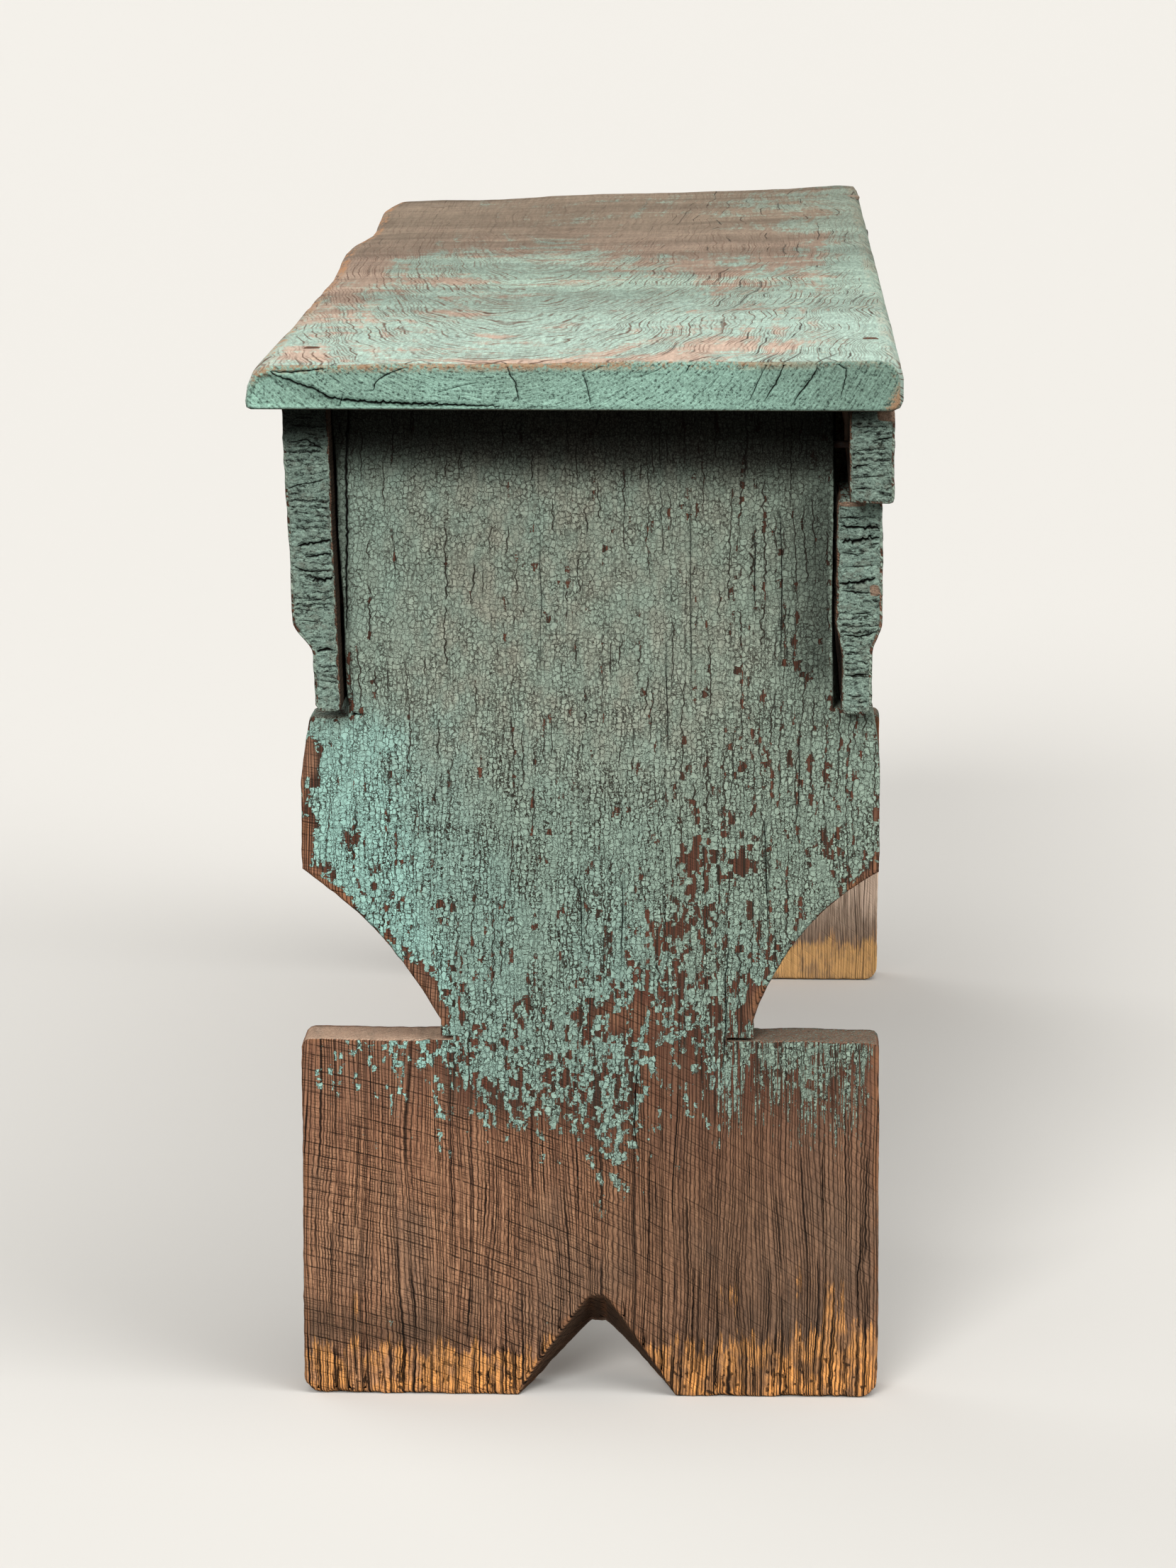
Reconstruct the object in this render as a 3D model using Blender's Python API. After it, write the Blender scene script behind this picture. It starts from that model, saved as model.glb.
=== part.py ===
import math

import bpy
import bmesh
from mathutils import Matrix, Vector

# Seat plank
SEAT_LENGTH = 1.100
SEAT_WIDTH = 0.2904
SEAT_OFFSET = -0.00225
SEAT_THICKNESS = 0.0205
SEAT_TWIST_RIGHT = 0.0016
SEAT_TWIST_LEFT = 0.0048
SEAT_WAVE = 0.0086
SEAT_REAR_TAPER = 0.009
SEAT_WANE = 0.006
SEAT_EDGE_ROUND = 0.003
SEAT_CORNER_ROUND = 0.011
RIGHT_OVERHANG = 0.057
LEFT_OVERHANG = 0.040
# The front edge's waves: share of the length from the left end, share of the wave's depth
SEAT_WAVE_SHAPE = (
    (0.0, 0.62), (0.012, 0.36), (0.03, 0.15), (0.08, 0.0), (0.124, 0.12), (0.191, 0.47), (0.235, 0.58),
    (0.275, 0.49), (0.315, 0.21), (0.365, 0.12), (0.412, 0.26), (0.459, 0.51), (0.504, 0.72), (0.547, 0.86),
    (0.6, 0.93), (0.75, 1.0), (1.0, 1.0),
)

# Legs, sizes across are to the front and to the rear of the leg's middle line
LEG_THICKNESS = 0.030
LEG_OFFSET = 0.00695
SEAT_SIDE_OVERHANG = 0.0175
FOOT_SPREAD = 0.0008
FOOT_HEIGHT = 0.1625
FOOT_CORNER_ROUND = 0.009
LEFT_FOOT_SHIFT = 0.012
COVE_DEPTH_FRONT = 0.0612
COVE_DEPTH_REAR = 0.0552
NECK_HEIGHT = 0.009
COVE_HEIGHT = 0.0675
COVE_HOLLOW_FRONT = 0.0054
COVE_HOLLOW_REAR = 0.0086
SHOULDER_HEIGHT = 0.073
SHOULDER_TAPER = 0.0035
TONGUE_LEAN = math.radians(2.85)
ARCH_WIDTH = 0.0705
ARCH_HEIGHT = 0.0467
ARCH_TOP_WIDTH = 0.006
ARCH_INNER_WIDTH = 0.057
ARCH_INNER_HEIGHT = 0.0270
ARCH_OFFSET = 0.003
LEG_EDGE_ROUND = 0.0012

# Aprons
APRON_THICKNESS = 0.0198
APRON_HEIGHT = 0.1362
APRON_REACH = 0.017
FRONT_LEAN = math.radians(2.2)
FRONT_GAP = 0.0048
FRONT_MOULDING_DEPTH = 0.0085
REAR_MOULDING_DEPTH = 0.0042
REAR_INNER_CUT = 0.0025
LIP_HEIGHT = 0.0255
MOULDING_HEIGHT = 0.015
RAIL_HEIGHT = 0.0412
RAIL_REACH = 0.040
RAIL_SHIFT = 0.0048
REAR_SPARE = 0.0015
APRON_EDGE_ROUND = 0.0010

# Cut nails
NAIL_LENGTH = 0.051
NAIL_HEAD_LENGTH = 0.0076
NAIL_HEAD_WIDTH = 0.0052
NAIL_HEAD_HEIGHT = 0.0020
NAIL_SHANK = 0.0042
NAIL_TIP = 0.0018
NAIL_SHANK_WIDTH = 0.0030
NAIL_PROUD = 0.0007
SEAT_NAIL_COUNT = 2
FRONT_SEAT_NAIL_IN = 0.010
REAR_SEAT_NAIL_IN = 0.028
FRONT_NAIL_COUNT = 3
BOARD_NAIL_COUNT = 2
APRON_NAIL_TOP = 0.038
APRON_NAIL_PITCH = 0.026
BOARD_NAIL_TOP = 0.020
NAIL_STAGGER = 0.004

CLEARANCE = 0.0003

# Sizes and places that follow from the ones above
SHOULDER_WIDTH = SEAT_WIDTH - 2 * SEAT_SIDE_OVERHANG
FOOT_WIDTH = SHOULDER_WIDTH + 2 * FOOT_SPREAD
NECK_FRONT = SHOULDER_WIDTH / 2 - COVE_DEPTH_FRONT
NECK_REAR = SHOULDER_WIDTH / 2 - COVE_DEPTH_REAR
COVE_BOTTOM = FOOT_HEIGHT + NECK_HEIGHT
COVE_TOP = COVE_BOTTOM + COVE_HEIGHT
SHOULDER_TOP = COVE_TOP + SHOULDER_HEIGHT
LEG_TOP = SHOULDER_TOP + CLEARANCE + APRON_HEIGHT
SEAT_BOTTOM = LEG_TOP + CLEARANCE
SEAT_TOP = SEAT_BOTTOM + SEAT_THICKNESS
FRONT_SHOULDER_TOP = SHOULDER_TOP - FRONT_GAP
NOTCH_DEPTH = APRON_THICKNESS + REAR_SPARE
TONGUE_REAR = SHOULDER_WIDTH / 2 - NOTCH_DEPTH
TONGUE_FRONT = TONGUE_REAR
TONGUE_FRONT_TOP = TONGUE_FRONT + (LEG_TOP - FRONT_SHOULDER_TOP) * math.tan(TONGUE_LEAN)
RIGHT_FACE = SEAT_LENGTH / 2 - RIGHT_OVERHANG
LEFT_FACE = -SEAT_LENGTH / 2 + LEFT_OVERHANG
RIGHT_LEG_MIDDLE = RIGHT_FACE - LEG_THICKNESS / 2
LEFT_LEG_MIDDLE = LEFT_FACE + LEG_THICKNESS / 2
FRONT_HINGE_Y = LEG_OFFSET - TONGUE_FRONT_TOP - CLEARANCE
BOARD_INNER_Y = LEG_OFFSET + TONGUE_REAR + REAR_SPARE
BOARD_OUTER_Y = BOARD_INNER_Y + APRON_THICKNESS
RAIL_INNER_Y = BOARD_INNER_Y + RAIL_SHIFT
RAIL_OUTER_Y = RAIL_INNER_Y + APRON_THICKNESS
RAIL_BOTTOM = LEG_TOP - RAIL_HEIGHT
BOARD_HEIGHT = APRON_HEIGHT - RAIL_HEIGHT - CLEARANCE


def new_material(name, colour, roughness, metallic):
    material = bpy.data.materials.new(name)
    material.use_nodes = True
    shader = material.node_tree.nodes["Principled BSDF"]
    shader.inputs["Base Color"].default_value = colour
    shader.inputs["Roughness"].default_value = roughness
    shader.inputs["Metallic"].default_value = metallic
    return material


def add_object(name, mesh, material=None):
    item = bpy.data.objects.new(name, mesh)
    bpy.context.scene.collection.objects.link(item)
    if material is not None:
        mesh.materials.append(material)
    return item


def mesh_from_rings(name, rings):
    # Skins rings of points, all of one length, and closes both ends
    shape = bmesh.new()
    loops = []
    for ring in rings:
        loops.append([shape.verts.new(point) for point in ring])
    count = len(rings[0])
    for near, far in zip(loops, loops[1:]):
        for index in range(count):
            after = (index + 1) % count
            shape.faces.new((near[index], near[after], far[after], far[index]))
    shape.faces.new(list(reversed(loops[0])))
    shape.faces.new(loops[-1])
    bmesh.ops.recalc_face_normals(shape, faces=shape.faces)
    mesh = bpy.data.meshes.new(name)
    shape.to_mesh(mesh)
    shape.free()
    return mesh


def arc(start, end, hollow, count):
    # Points between start and end on an arc that bows to the left by hollow
    start = Vector(start)
    end = Vector(end)
    chord = end - start
    half = chord.length / 2
    radius = (half * half + hollow * hollow) / (2 * hollow)
    left = Vector((-chord.y, chord.x)) / chord.length
    centre = (start + end) / 2 - left * (radius - hollow)
    spread = math.asin(half / radius)
    points = []
    for step in range(1, count):
        angle = -spread + 2 * spread * step / count
        along = chord / chord.length * math.sin(angle) * radius
        points.append(tuple(centre + along + left * math.cos(angle) * radius))
    return points


def round_corner(before, corner, after, radius, count):
    corner = Vector(corner)
    back = (Vector(before) - corner).normalized()
    ahead = (Vector(after) - corner).normalized()
    half = back.angle(ahead) / 2
    reach = radius / math.tan(half)
    centre = corner + (back + ahead).normalized() * radius / math.sin(half)
    first = corner + back * reach - centre
    last = corner + ahead * reach - centre
    turn = first.angle_signed(last)
    points = []
    for step in range(count + 1):
        angle = -turn * step / count
        spun = Vector((first.x * math.cos(angle) - first.y * math.sin(angle),
                       first.x * math.sin(angle) + first.y * math.cos(angle)))
        points.append(tuple(centre + spun))
    return points


def leg_outline(foot_shift):
    # From the front bottom corner around by the rear, as (across, up)
    foot_front = foot_shift - FOOT_WIDTH / 2
    foot_rear = foot_shift + FOOT_WIDTH / 2
    shoulder = SHOULDER_WIDTH / 2
    points = []
    points += round_corner((foot_front, FOOT_HEIGHT), (foot_front, 0), (foot_rear, 0), FOOT_CORNER_ROUND, 5)
    points += round_corner((foot_front, 0), (foot_rear, 0), (foot_rear, FOOT_HEIGHT), FOOT_CORNER_ROUND, 5)
    points += [(foot_rear, FOOT_HEIGHT), (NECK_REAR, FOOT_HEIGHT), (NECK_REAR, COVE_BOTTOM)]
    points += arc((NECK_REAR, COVE_BOTTOM), (shoulder, COVE_TOP), COVE_HOLLOW_REAR, 10)
    points += [(shoulder, COVE_TOP), (shoulder, COVE_TOP + SHOULDER_HEIGHT * 0.6)]
    points += [(shoulder - SHOULDER_TAPER, SHOULDER_TOP), (TONGUE_REAR, SHOULDER_TOP), (TONGUE_REAR, LEG_TOP)]
    points += [(-TONGUE_FRONT_TOP, LEG_TOP), (-TONGUE_FRONT, FRONT_SHOULDER_TOP)]
    points += [(SHOULDER_TAPER - shoulder, FRONT_SHOULDER_TOP)]
    points += [(-shoulder, COVE_TOP + SHOULDER_HEIGHT * 0.55), (-shoulder, COVE_TOP)]
    points += arc((-shoulder, COVE_TOP), (-NECK_FRONT, COVE_BOTTOM), COVE_HOLLOW_FRONT, 10)
    points += [(-NECK_FRONT, COVE_BOTTOM), (-NECK_FRONT, FOOT_HEIGHT), (foot_front, FOOT_HEIGHT)]
    return points


def arch_section(share, foot_shift):
    # The V cut at a share of the way from the outer face to the inner face
    width = ARCH_WIDTH + (ARCH_INNER_WIDTH - ARCH_WIDTH) * share
    height = ARCH_HEIGHT + (ARCH_INNER_HEIGHT - ARCH_HEIGHT) * share
    top = ARCH_TOP_WIDTH / 2
    below = height * 0.3
    spread = width / 2 + (width / 2 - top) * below / height
    middle = foot_shift + ARCH_OFFSET
    return [(middle - spread, -below), (middle + spread, -below), (middle + top, height), (middle - top, height)]


def add_leg(name, face, inward, foot_shift, material):
    outline = leg_outline(foot_shift)
    rings = []
    for depth in (0, LEG_THICKNESS):
        x = face + inward * depth
        rings.append([(x, LEG_OFFSET + across, up) for across, up in outline])
    leg = add_object(name, mesh_from_rings(name, rings), material)
    rings = []
    for share in (-0.2, 1.2):
        x = face + inward * share * LEG_THICKNESS
        rings.append([(x, LEG_OFFSET + across, up) for across, up in arch_section(share, foot_shift)])
    cut_with(leg, "arch", rings)
    rounding = leg.modifiers.new("worn_edges", "BEVEL")
    rounding.width = LEG_EDGE_ROUND
    rounding.segments = 2
    rounding.limit_method = "ANGLE"
    rounding.angle_limit = math.radians(40)
    return leg


def hide_cutter(cutter):
    cutter.hide_render = True
    cutter.display_type = "WIRE"


def cut_with(item, name, rings):
    cutter = add_object(item.name + "_" + name, mesh_from_rings(name, rings))
    hide_cutter(cutter)
    cut = item.modifiers.new(name, "BOOLEAN")
    cut.operation = "DIFFERENCE"
    cut.solver = "EXACT"
    cut.object = cutter


def front_edge(x):
    # How far the front edge stands in from its widest place
    share = min(max(x / SEAT_LENGTH + 0.5, 0), 1)
    for (low, near), (high, far) in zip(SEAT_WAVE_SHAPE, SEAT_WAVE_SHAPE[1:]):
        if share <= high:
            blend = 0.5 - 0.5 * math.cos(math.pi * (share - low) / (high - low))
            return SEAT_WAVE * (near + (far - near) * blend)


def corner_pull(x):
    room = SEAT_LENGTH / 2 - abs(x)
    short = max(SEAT_CORNER_ROUND - room, 0)
    return SEAT_CORNER_ROUND - math.sqrt(SEAT_CORNER_ROUND ** 2 - short ** 2)


def seat_height(x, y):
    # The upper face is in winding: low at the front, high at the rear, more so at the left end
    share = x / SEAT_LENGTH + 0.5
    twist = SEAT_TWIST_LEFT + (SEAT_TWIST_RIGHT - SEAT_TWIST_LEFT) * share
    return SEAT_TOP + twist * 2 * (y - SEAT_OFFSET) / SEAT_WIDTH


def seat_ring(x, inset):
    pull = corner_pull(x)
    front = SEAT_OFFSET - SEAT_WIDTH / 2 + front_edge(x) + pull + inset
    rear = SEAT_OFFSET + SEAT_WIDTH / 2 - SEAT_REAR_TAPER * (0.5 - x / SEAT_LENGTH) - pull - inset
    low = SEAT_BOTTOM + inset
    tall = SEAT_THICKNESS - 2 * inset
    wane = SEAT_WANE
    ring = []
    bend = SEAT_EDGE_ROUND
    ring.append((x, front + bend, low))
    ring.append((x, rear - bend, low))
    ring.append((x, rear - bend * 0.3, low + bend * 0.3))
    ring.append((x, rear, low + bend))
    ring.append((x, rear, low + tall * 0.72))
    ring.append((x, rear - bend * 0.4, low + tall * 0.9))
    y = rear - bend * 1.5
    ring.append((x, y, seat_height(x, y) - inset))
    for share in (0.75, 0.5, 0.25):
        y = front + wane + (rear - front - wane) * share
        ring.append((x, y, seat_height(x, y) - inset))
    y = front + wane * 1.6
    ring.append((x, y, seat_height(x, y) - inset))
    ring.append((x, front + wane * 0.75, low + tall * 0.82))
    ring.append((x, front + wane * 0.3, low + tall * 0.55))
    ring.append((x, front, low + bend))
    ring.append((x, front + bend * 0.3, low + bend * 0.3))
    return ring


def add_seat(material):
    half = SEAT_LENGTH / 2
    stations = []
    for step in range(4):
        angle = math.pi / 2 * step / 3
        stations.append((SEAT_EDGE_ROUND * (1 - math.sin(angle)), SEAT_EDGE_ROUND * (1 - math.cos(angle))))
    ends = [(inward, inset) for inset, inward in stations]
    for room in (0.45, 0.7, 1.0):
        ends.append((SEAT_CORNER_ROUND * room, 0))
    rings = []
    for inward, inset in ends:
        rings.append(seat_ring(-half + inward, inset))
    spans = 40
    first = -half + SEAT_CORNER_ROUND
    for step in range(1, spans):
        rings.append(seat_ring(first - 2 * first * step / spans, 0))
    for inward, inset in reversed(ends):
        rings.append(seat_ring(half - inward, inset))
    return add_object("seat_plank", mesh_from_rings("seat_plank", rings), material)


def apron_outline(height, depth, inner_cut):
    # As (outward, up) from the inner top edge, round by the inner face and the moulded lip
    lip_top = LIP_HEIGHT - height
    points = [(0, 0), (0, lip_top + MOULDING_HEIGHT)]
    points += [(inner_cut, lip_top), (inner_cut, -height)]
    outer = APRON_THICKNESS
    lip = outer - depth
    points += round_corner((inner_cut, -height), (lip, -height), (lip, lip_top), 0.003, 4)
    for step in range(9):
        share = step / 8
        points.append((lip + depth * (0.5 - 0.5 * math.cos(math.pi * share)), lip_top + MOULDING_HEIGHT * share))
    points.append((outer, 0))
    return points


def add_apron(name, outline, left, right, material):
    rings = []
    for x in (left, right):
        rings.append([(x, across, up) for across, up in outline])
    apron = add_object(name, mesh_from_rings(name, rings), material)
    rounding = apron.modifiers.new("worn_edges", "BEVEL")
    rounding.width = APRON_EDGE_ROUND
    rounding.segments = 2
    rounding.limit_method = "ANGLE"
    rounding.angle_limit = math.radians(40)
    return apron


def add_front_apron(material):
    outline = []
    for outward, up in apron_outline(APRON_HEIGHT, FRONT_MOULDING_DEPTH, 0):
        across = -outward * math.cos(FRONT_LEAN) - up * math.sin(FRONT_LEAN)
        height = -outward * math.sin(FRONT_LEAN) + up * math.cos(FRONT_LEAN)
        outline.append((FRONT_HINGE_Y + across, LEG_TOP + height))
    left = LEFT_FACE - APRON_REACH
    right = RIGHT_FACE + APRON_REACH
    return add_apron("front_apron", outline, left, right, material)


def add_rear_board(material):
    top = RAIL_BOTTOM - CLEARANCE
    outline = []
    for outward, up in apron_outline(BOARD_HEIGHT, REAR_MOULDING_DEPTH, REAR_INNER_CUT):
        outline.append((BOARD_INNER_Y + outward, top + up))
    left = LEFT_FACE - APRON_REACH
    right = RIGHT_FACE + APRON_REACH
    return add_apron("rear_apron_board", outline, left, right, material)


def add_rear_rail(material):
    outline = [(RAIL_INNER_Y, LEG_TOP), (RAIL_INNER_Y, RAIL_BOTTOM)]
    outline += [(RAIL_OUTER_Y, RAIL_BOTTOM), (RAIL_OUTER_Y, LEG_TOP)]
    left = LEFT_FACE - RAIL_REACH
    right = RIGHT_FACE + RAIL_REACH
    return add_apron("rear_apron_rail", outline, left, right, material)


def nail_rings(place, spare, above):
    # A cut nail along its own -Z from its head, grown by spare on all sides
    head = (NAIL_HEAD_LENGTH / 2 + spare, NAIL_HEAD_WIDTH / 2 + spare)
    crown = (NAIL_HEAD_LENGTH * 0.36 + spare * 1.8, NAIL_HEAD_WIDTH * 0.36 + spare * 1.8)
    shank = (NAIL_SHANK / 2 + spare, NAIL_SHANK_WIDTH / 2 + spare)
    tip = (NAIL_TIP / 2 + spare, NAIL_SHANK_WIDTH / 2 + spare)
    side = -NAIL_HEAD_HEIGHT * 0.35
    levels = [(head, above)] if above else [(crown, 0), (head, side)]
    levels += [(head, -NAIL_HEAD_HEIGHT - spare), (shank, -NAIL_HEAD_HEIGHT - spare - NAIL_HEAD_HEIGHT * 0.4)]
    levels += [(tip, -NAIL_LENGTH - spare)]
    rings = []
    for (long, wide), up in levels:
        corners = ((-long, -wide), (long, -wide), (long, wide), (-long, wide))
        rings.append([tuple(place @ Vector((x, y, up))) for x, y in corners])
    return rings


def add_nail(name, place, material):
    nail = add_object(name, mesh_from_rings(name, nail_rings(place, 0, 0)), material)
    return nail


def cut_nail_holes(item, places):
    shape = bmesh.new()
    for place in places:
        hole = mesh_from_rings("hole", nail_rings(place, CLEARANCE, NAIL_HEAD_HEIGHT * 3))
        shape.from_mesh(hole)
        bpy.data.meshes.remove(hole)
    mesh = bpy.data.meshes.new("nail_holes")
    shape.to_mesh(mesh)
    shape.free()
    cutter = add_object(item.name + "_nail_holes", mesh)
    hide_cutter(cutter)
    cut = item.modifiers.new("nail_holes", "BOOLEAN")
    cut.operation = "DIFFERENCE"
    cut.solver = "EXACT"
    cut.object = cutter


def seat_nail_places(left, right, y):
    # The long side of each head lies across the plank
    places = []
    for index in range(SEAT_NAIL_COUNT):
        x = left + (right - left) * index / (SEAT_NAIL_COUNT - 1)
        place = Matrix.Translation((x, y, seat_height(x, y) + NAIL_PROUD))
        places.append(place @ Matrix.Rotation(math.pi / 2, 4, "Z"))
    return places


def front_nail_places(middle, count):
    # Square to the leaning outer face of the front apron
    places = []
    for index in range(count):
        down = APRON_NAIL_TOP + APRON_NAIL_PITCH * index
        outward = APRON_THICKNESS + NAIL_PROUD
        y = FRONT_HINGE_Y - outward * math.cos(FRONT_LEAN) + down * math.sin(FRONT_LEAN)
        z = LEG_TOP - outward * math.sin(FRONT_LEAN) - down * math.cos(FRONT_LEAN)
        x = middle + NAIL_STAGGER * (1 - 2 * (index % 2))
        places.append(Matrix.Translation((x, y, z)) @ Matrix.Rotation(math.pi / 2 + FRONT_LEAN, 4, "X"))
    return places


def rear_nail_places(middle, outer, top, drops):
    places = []
    for index, drop in enumerate(drops):
        x = middle + NAIL_STAGGER * (1 - 2 * (index % 2))
        place = Matrix.Translation((x, outer + NAIL_PROUD, top - drop))
        places.append(place @ Matrix.Rotation(-math.pi / 2, 4, "X"))
    return places


def add_nails(name, places, material):
    for index, place in enumerate(places):
        add_nail(name + "_" + str(index + 1), place, material)


def build():
    for item in list(bpy.data.objects):
        bpy.data.objects.remove(item)
    painted = new_material("painted_wood", (0.13, 0.21, 0.18, 1), 0.7, 0)
    worn = new_material("worn_wood", (0.27, 0.27, 0.2, 1), 0.7, 0)
    iron = new_material("rusty_iron", (0.12, 0.06, 0.035, 1), 0.8, 0.4)

    seat = add_seat(worn)
    right_leg = add_leg("right_leg", RIGHT_FACE, -1, 0, painted)
    left_leg = add_leg("left_leg", LEFT_FACE, 1, LEFT_FOOT_SHIFT, painted)
    front_apron = add_front_apron(painted)
    board = add_rear_board(painted)
    rail = add_rear_rail(painted)

    front_y = FRONT_HINGE_Y - APRON_THICKNESS / 2
    front_left = LEFT_LEG_MIDDLE + FRONT_SEAT_NAIL_IN
    seat_front = seat_nail_places(front_left, RIGHT_LEG_MIDDLE - FRONT_SEAT_NAIL_IN, front_y)
    rail_y = (RAIL_INNER_Y + RAIL_OUTER_Y) / 2
    rear_left = LEFT_LEG_MIDDLE + REAR_SEAT_NAIL_IN
    seat_rear = seat_nail_places(rear_left, RIGHT_LEG_MIDDLE - REAR_SEAT_NAIL_IN, rail_y)
    board_top = RAIL_BOTTOM - CLEARANCE
    drops = [BOARD_NAIL_TOP + APRON_NAIL_PITCH * index for index in range(BOARD_NAIL_COUNT)]
    leg_nails = {}
    for side, middle in (("right", RIGHT_LEG_MIDDLE), ("left", LEFT_LEG_MIDDLE)):
        front = front_nail_places(middle, FRONT_NAIL_COUNT)
        lower = rear_nail_places(middle, BOARD_OUTER_Y, board_top, drops)
        upper = rear_nail_places(middle, RAIL_OUTER_Y, LEG_TOP, [RAIL_HEIGHT / 2])
        leg_nails[side] = (front, lower, upper)
        add_nails("front_apron_nail_" + side, front, iron)
        add_nails("rear_board_nail_" + side, lower, iron)
        add_nails("rear_rail_nail_" + side, upper, iron)
    add_nails("seat_nail_front", seat_front, iron)
    add_nails("seat_nail_rear", seat_rear, iron)

    right_front, right_lower, right_upper = leg_nails["right"]
    left_front, left_lower, left_upper = leg_nails["left"]
    cut_nail_holes(seat, seat_front + seat_rear)
    cut_nail_holes(front_apron, seat_front + right_front + left_front)
    cut_nail_holes(rail, seat_rear + right_upper + left_upper)
    cut_nail_holes(board, right_lower + left_lower)
    cut_nail_holes(right_leg, right_front + right_lower + right_upper)
    cut_nail_holes(left_leg, left_front + left_lower + left_upper)


build()
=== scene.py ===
import math

import bmesh
import bpy
import numpy as np
from mathutils import Matrix, Vector, geometry, kdtree


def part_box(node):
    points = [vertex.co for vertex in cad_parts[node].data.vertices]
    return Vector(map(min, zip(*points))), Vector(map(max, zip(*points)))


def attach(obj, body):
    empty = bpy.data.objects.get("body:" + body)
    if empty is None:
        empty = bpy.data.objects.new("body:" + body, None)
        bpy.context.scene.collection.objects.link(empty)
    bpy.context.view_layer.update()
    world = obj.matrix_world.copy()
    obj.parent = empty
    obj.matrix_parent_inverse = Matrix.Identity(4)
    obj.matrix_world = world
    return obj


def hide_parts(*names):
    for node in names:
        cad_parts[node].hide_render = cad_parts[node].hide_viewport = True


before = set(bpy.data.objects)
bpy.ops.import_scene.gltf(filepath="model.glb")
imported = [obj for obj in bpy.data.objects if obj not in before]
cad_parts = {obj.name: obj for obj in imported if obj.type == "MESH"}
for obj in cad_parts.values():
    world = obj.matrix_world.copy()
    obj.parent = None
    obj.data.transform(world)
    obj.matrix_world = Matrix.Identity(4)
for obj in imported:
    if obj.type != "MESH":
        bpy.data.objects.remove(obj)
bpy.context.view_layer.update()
scene = bpy.context.scene
print("frame loaded,", len(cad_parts), "nodes")


# camera at the photograph's place, looking down the bench from its right end

cameraSetup = {
    "place": (3.1597, 0.0975, 0.7128),
    "pitch": 9.257,
    "yaw": 1.965,
    "focal": 8645.0,  # in pixels of the 2212 pixel long side
    "longSide": 2212.0,
}


def addCamera(setup):
    pitch = math.radians(setup["pitch"])
    yaw = math.radians(setup["yaw"])
    level = Vector((-math.cos(yaw), -math.sin(yaw), 0))
    right = Vector((-math.sin(yaw), math.cos(yaw), 0))
    ahead = level * math.cos(pitch) + Vector((0, 0, -math.sin(pitch)))
    up = right.cross(ahead)
    data = bpy.data.cameras.new("bench_camera")
    data.sensor_fit = "AUTO"
    data.lens = setup["focal"] / setup["longSide"] * data.sensor_width
    data.clip_end = 100
    camera = bpy.data.objects.new("bench_camera", data)
    turn = Matrix((right, up, -ahead)).transposed().to_4x4()
    camera.matrix_world = Matrix.Translation(setup["place"]) @ turn
    scene.collection.objects.link(camera)
    scene.camera = camera


lightSetup = {
    "lamps": {  # strength, elevation, azimuth from the near end towards the rear, angle of the lamp's disc
        "front_light": (2.47, 25.0, -13.0, 20.0),
        "above_light": (1.41, 74.0, 20.0, 50.0),
        "side_light": (1.6, 28.0, 58.0, 50.0),
        "back_light": (1.05, 18.0, -135.0, 50.0),  # for the sides turned away from the camera
    },
    "lampColour": (1.0, 0.98, 0.95),
    "lampDistance": 4,
    "fill": 0.16,
    "backdrop": 0.90,
    "backdropColour": (1.0, 0.985, 0.93),
    "floorColour": (0.70, 0.69, 0.67),
    "floorBounce": (0.10, 0.095, 0.09),  # the floor as it lights the bench
    "floorRadius": 40,
    "floorSides": 96,
    "floorRough": 0.9,
    "floorShine": 0.1,
}


def addSun(name, lampValues, setup):
    strength, elevation, azimuth, angle = lampValues
    data = bpy.data.lights.new(name, "SUN")
    data.energy = strength
    data.angle = math.radians(angle)
    data.color = setup["lampColour"]
    lamp = bpy.data.objects.new(name, data)
    high = math.radians(elevation)
    side = math.radians(azimuth)
    source = Vector((math.cos(high) * math.cos(side), math.cos(high) * math.sin(side), math.sin(high)))
    lamp.rotation_euler = source.to_track_quat("Z", "Y").to_euler()
    lamp.location = source * setup["lampDistance"]
    scene.collection.objects.link(lamp)


def backdropRays(tree):
    # 1 for the rays that show the pale backdrop, 0 for those that light the bench
    path = tree.nodes.new("ShaderNodeLightPath")
    seen = path.outputs["Is Camera Ray"]
    for kind in ("Is Glossy Ray", "Is Transmission Ray"):
        either = tree.nodes.new("ShaderNodeMath")
        either.operation = "MAXIMUM"
        tree.links.new(seen, either.inputs[0])
        tree.links.new(path.outputs[kind], either.inputs[1])
        seen = either.outputs[0]
    return seen


def addLights(setup):
    for name, lampValues in setup["lamps"].items():
        addSun(name, lampValues, setup)
    world = bpy.data.worlds.new("studio")
    scene.world = world
    world.use_nodes = True
    tree = world.node_tree
    back = tree.nodes["Background"]
    level = tree.nodes.new("ShaderNodeMapRange")
    level.inputs["To Min"].default_value = setup["fill"]
    level.inputs["To Max"].default_value = setup["backdrop"]
    tree.links.new(backdropRays(tree), level.inputs["Value"])
    tree.links.new(level.outputs["Result"], back.inputs["Strength"])
    back.inputs["Color"].default_value = (*setup["backdropColour"], 1)
    scene.view_settings.view_transform = "Standard"


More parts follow.
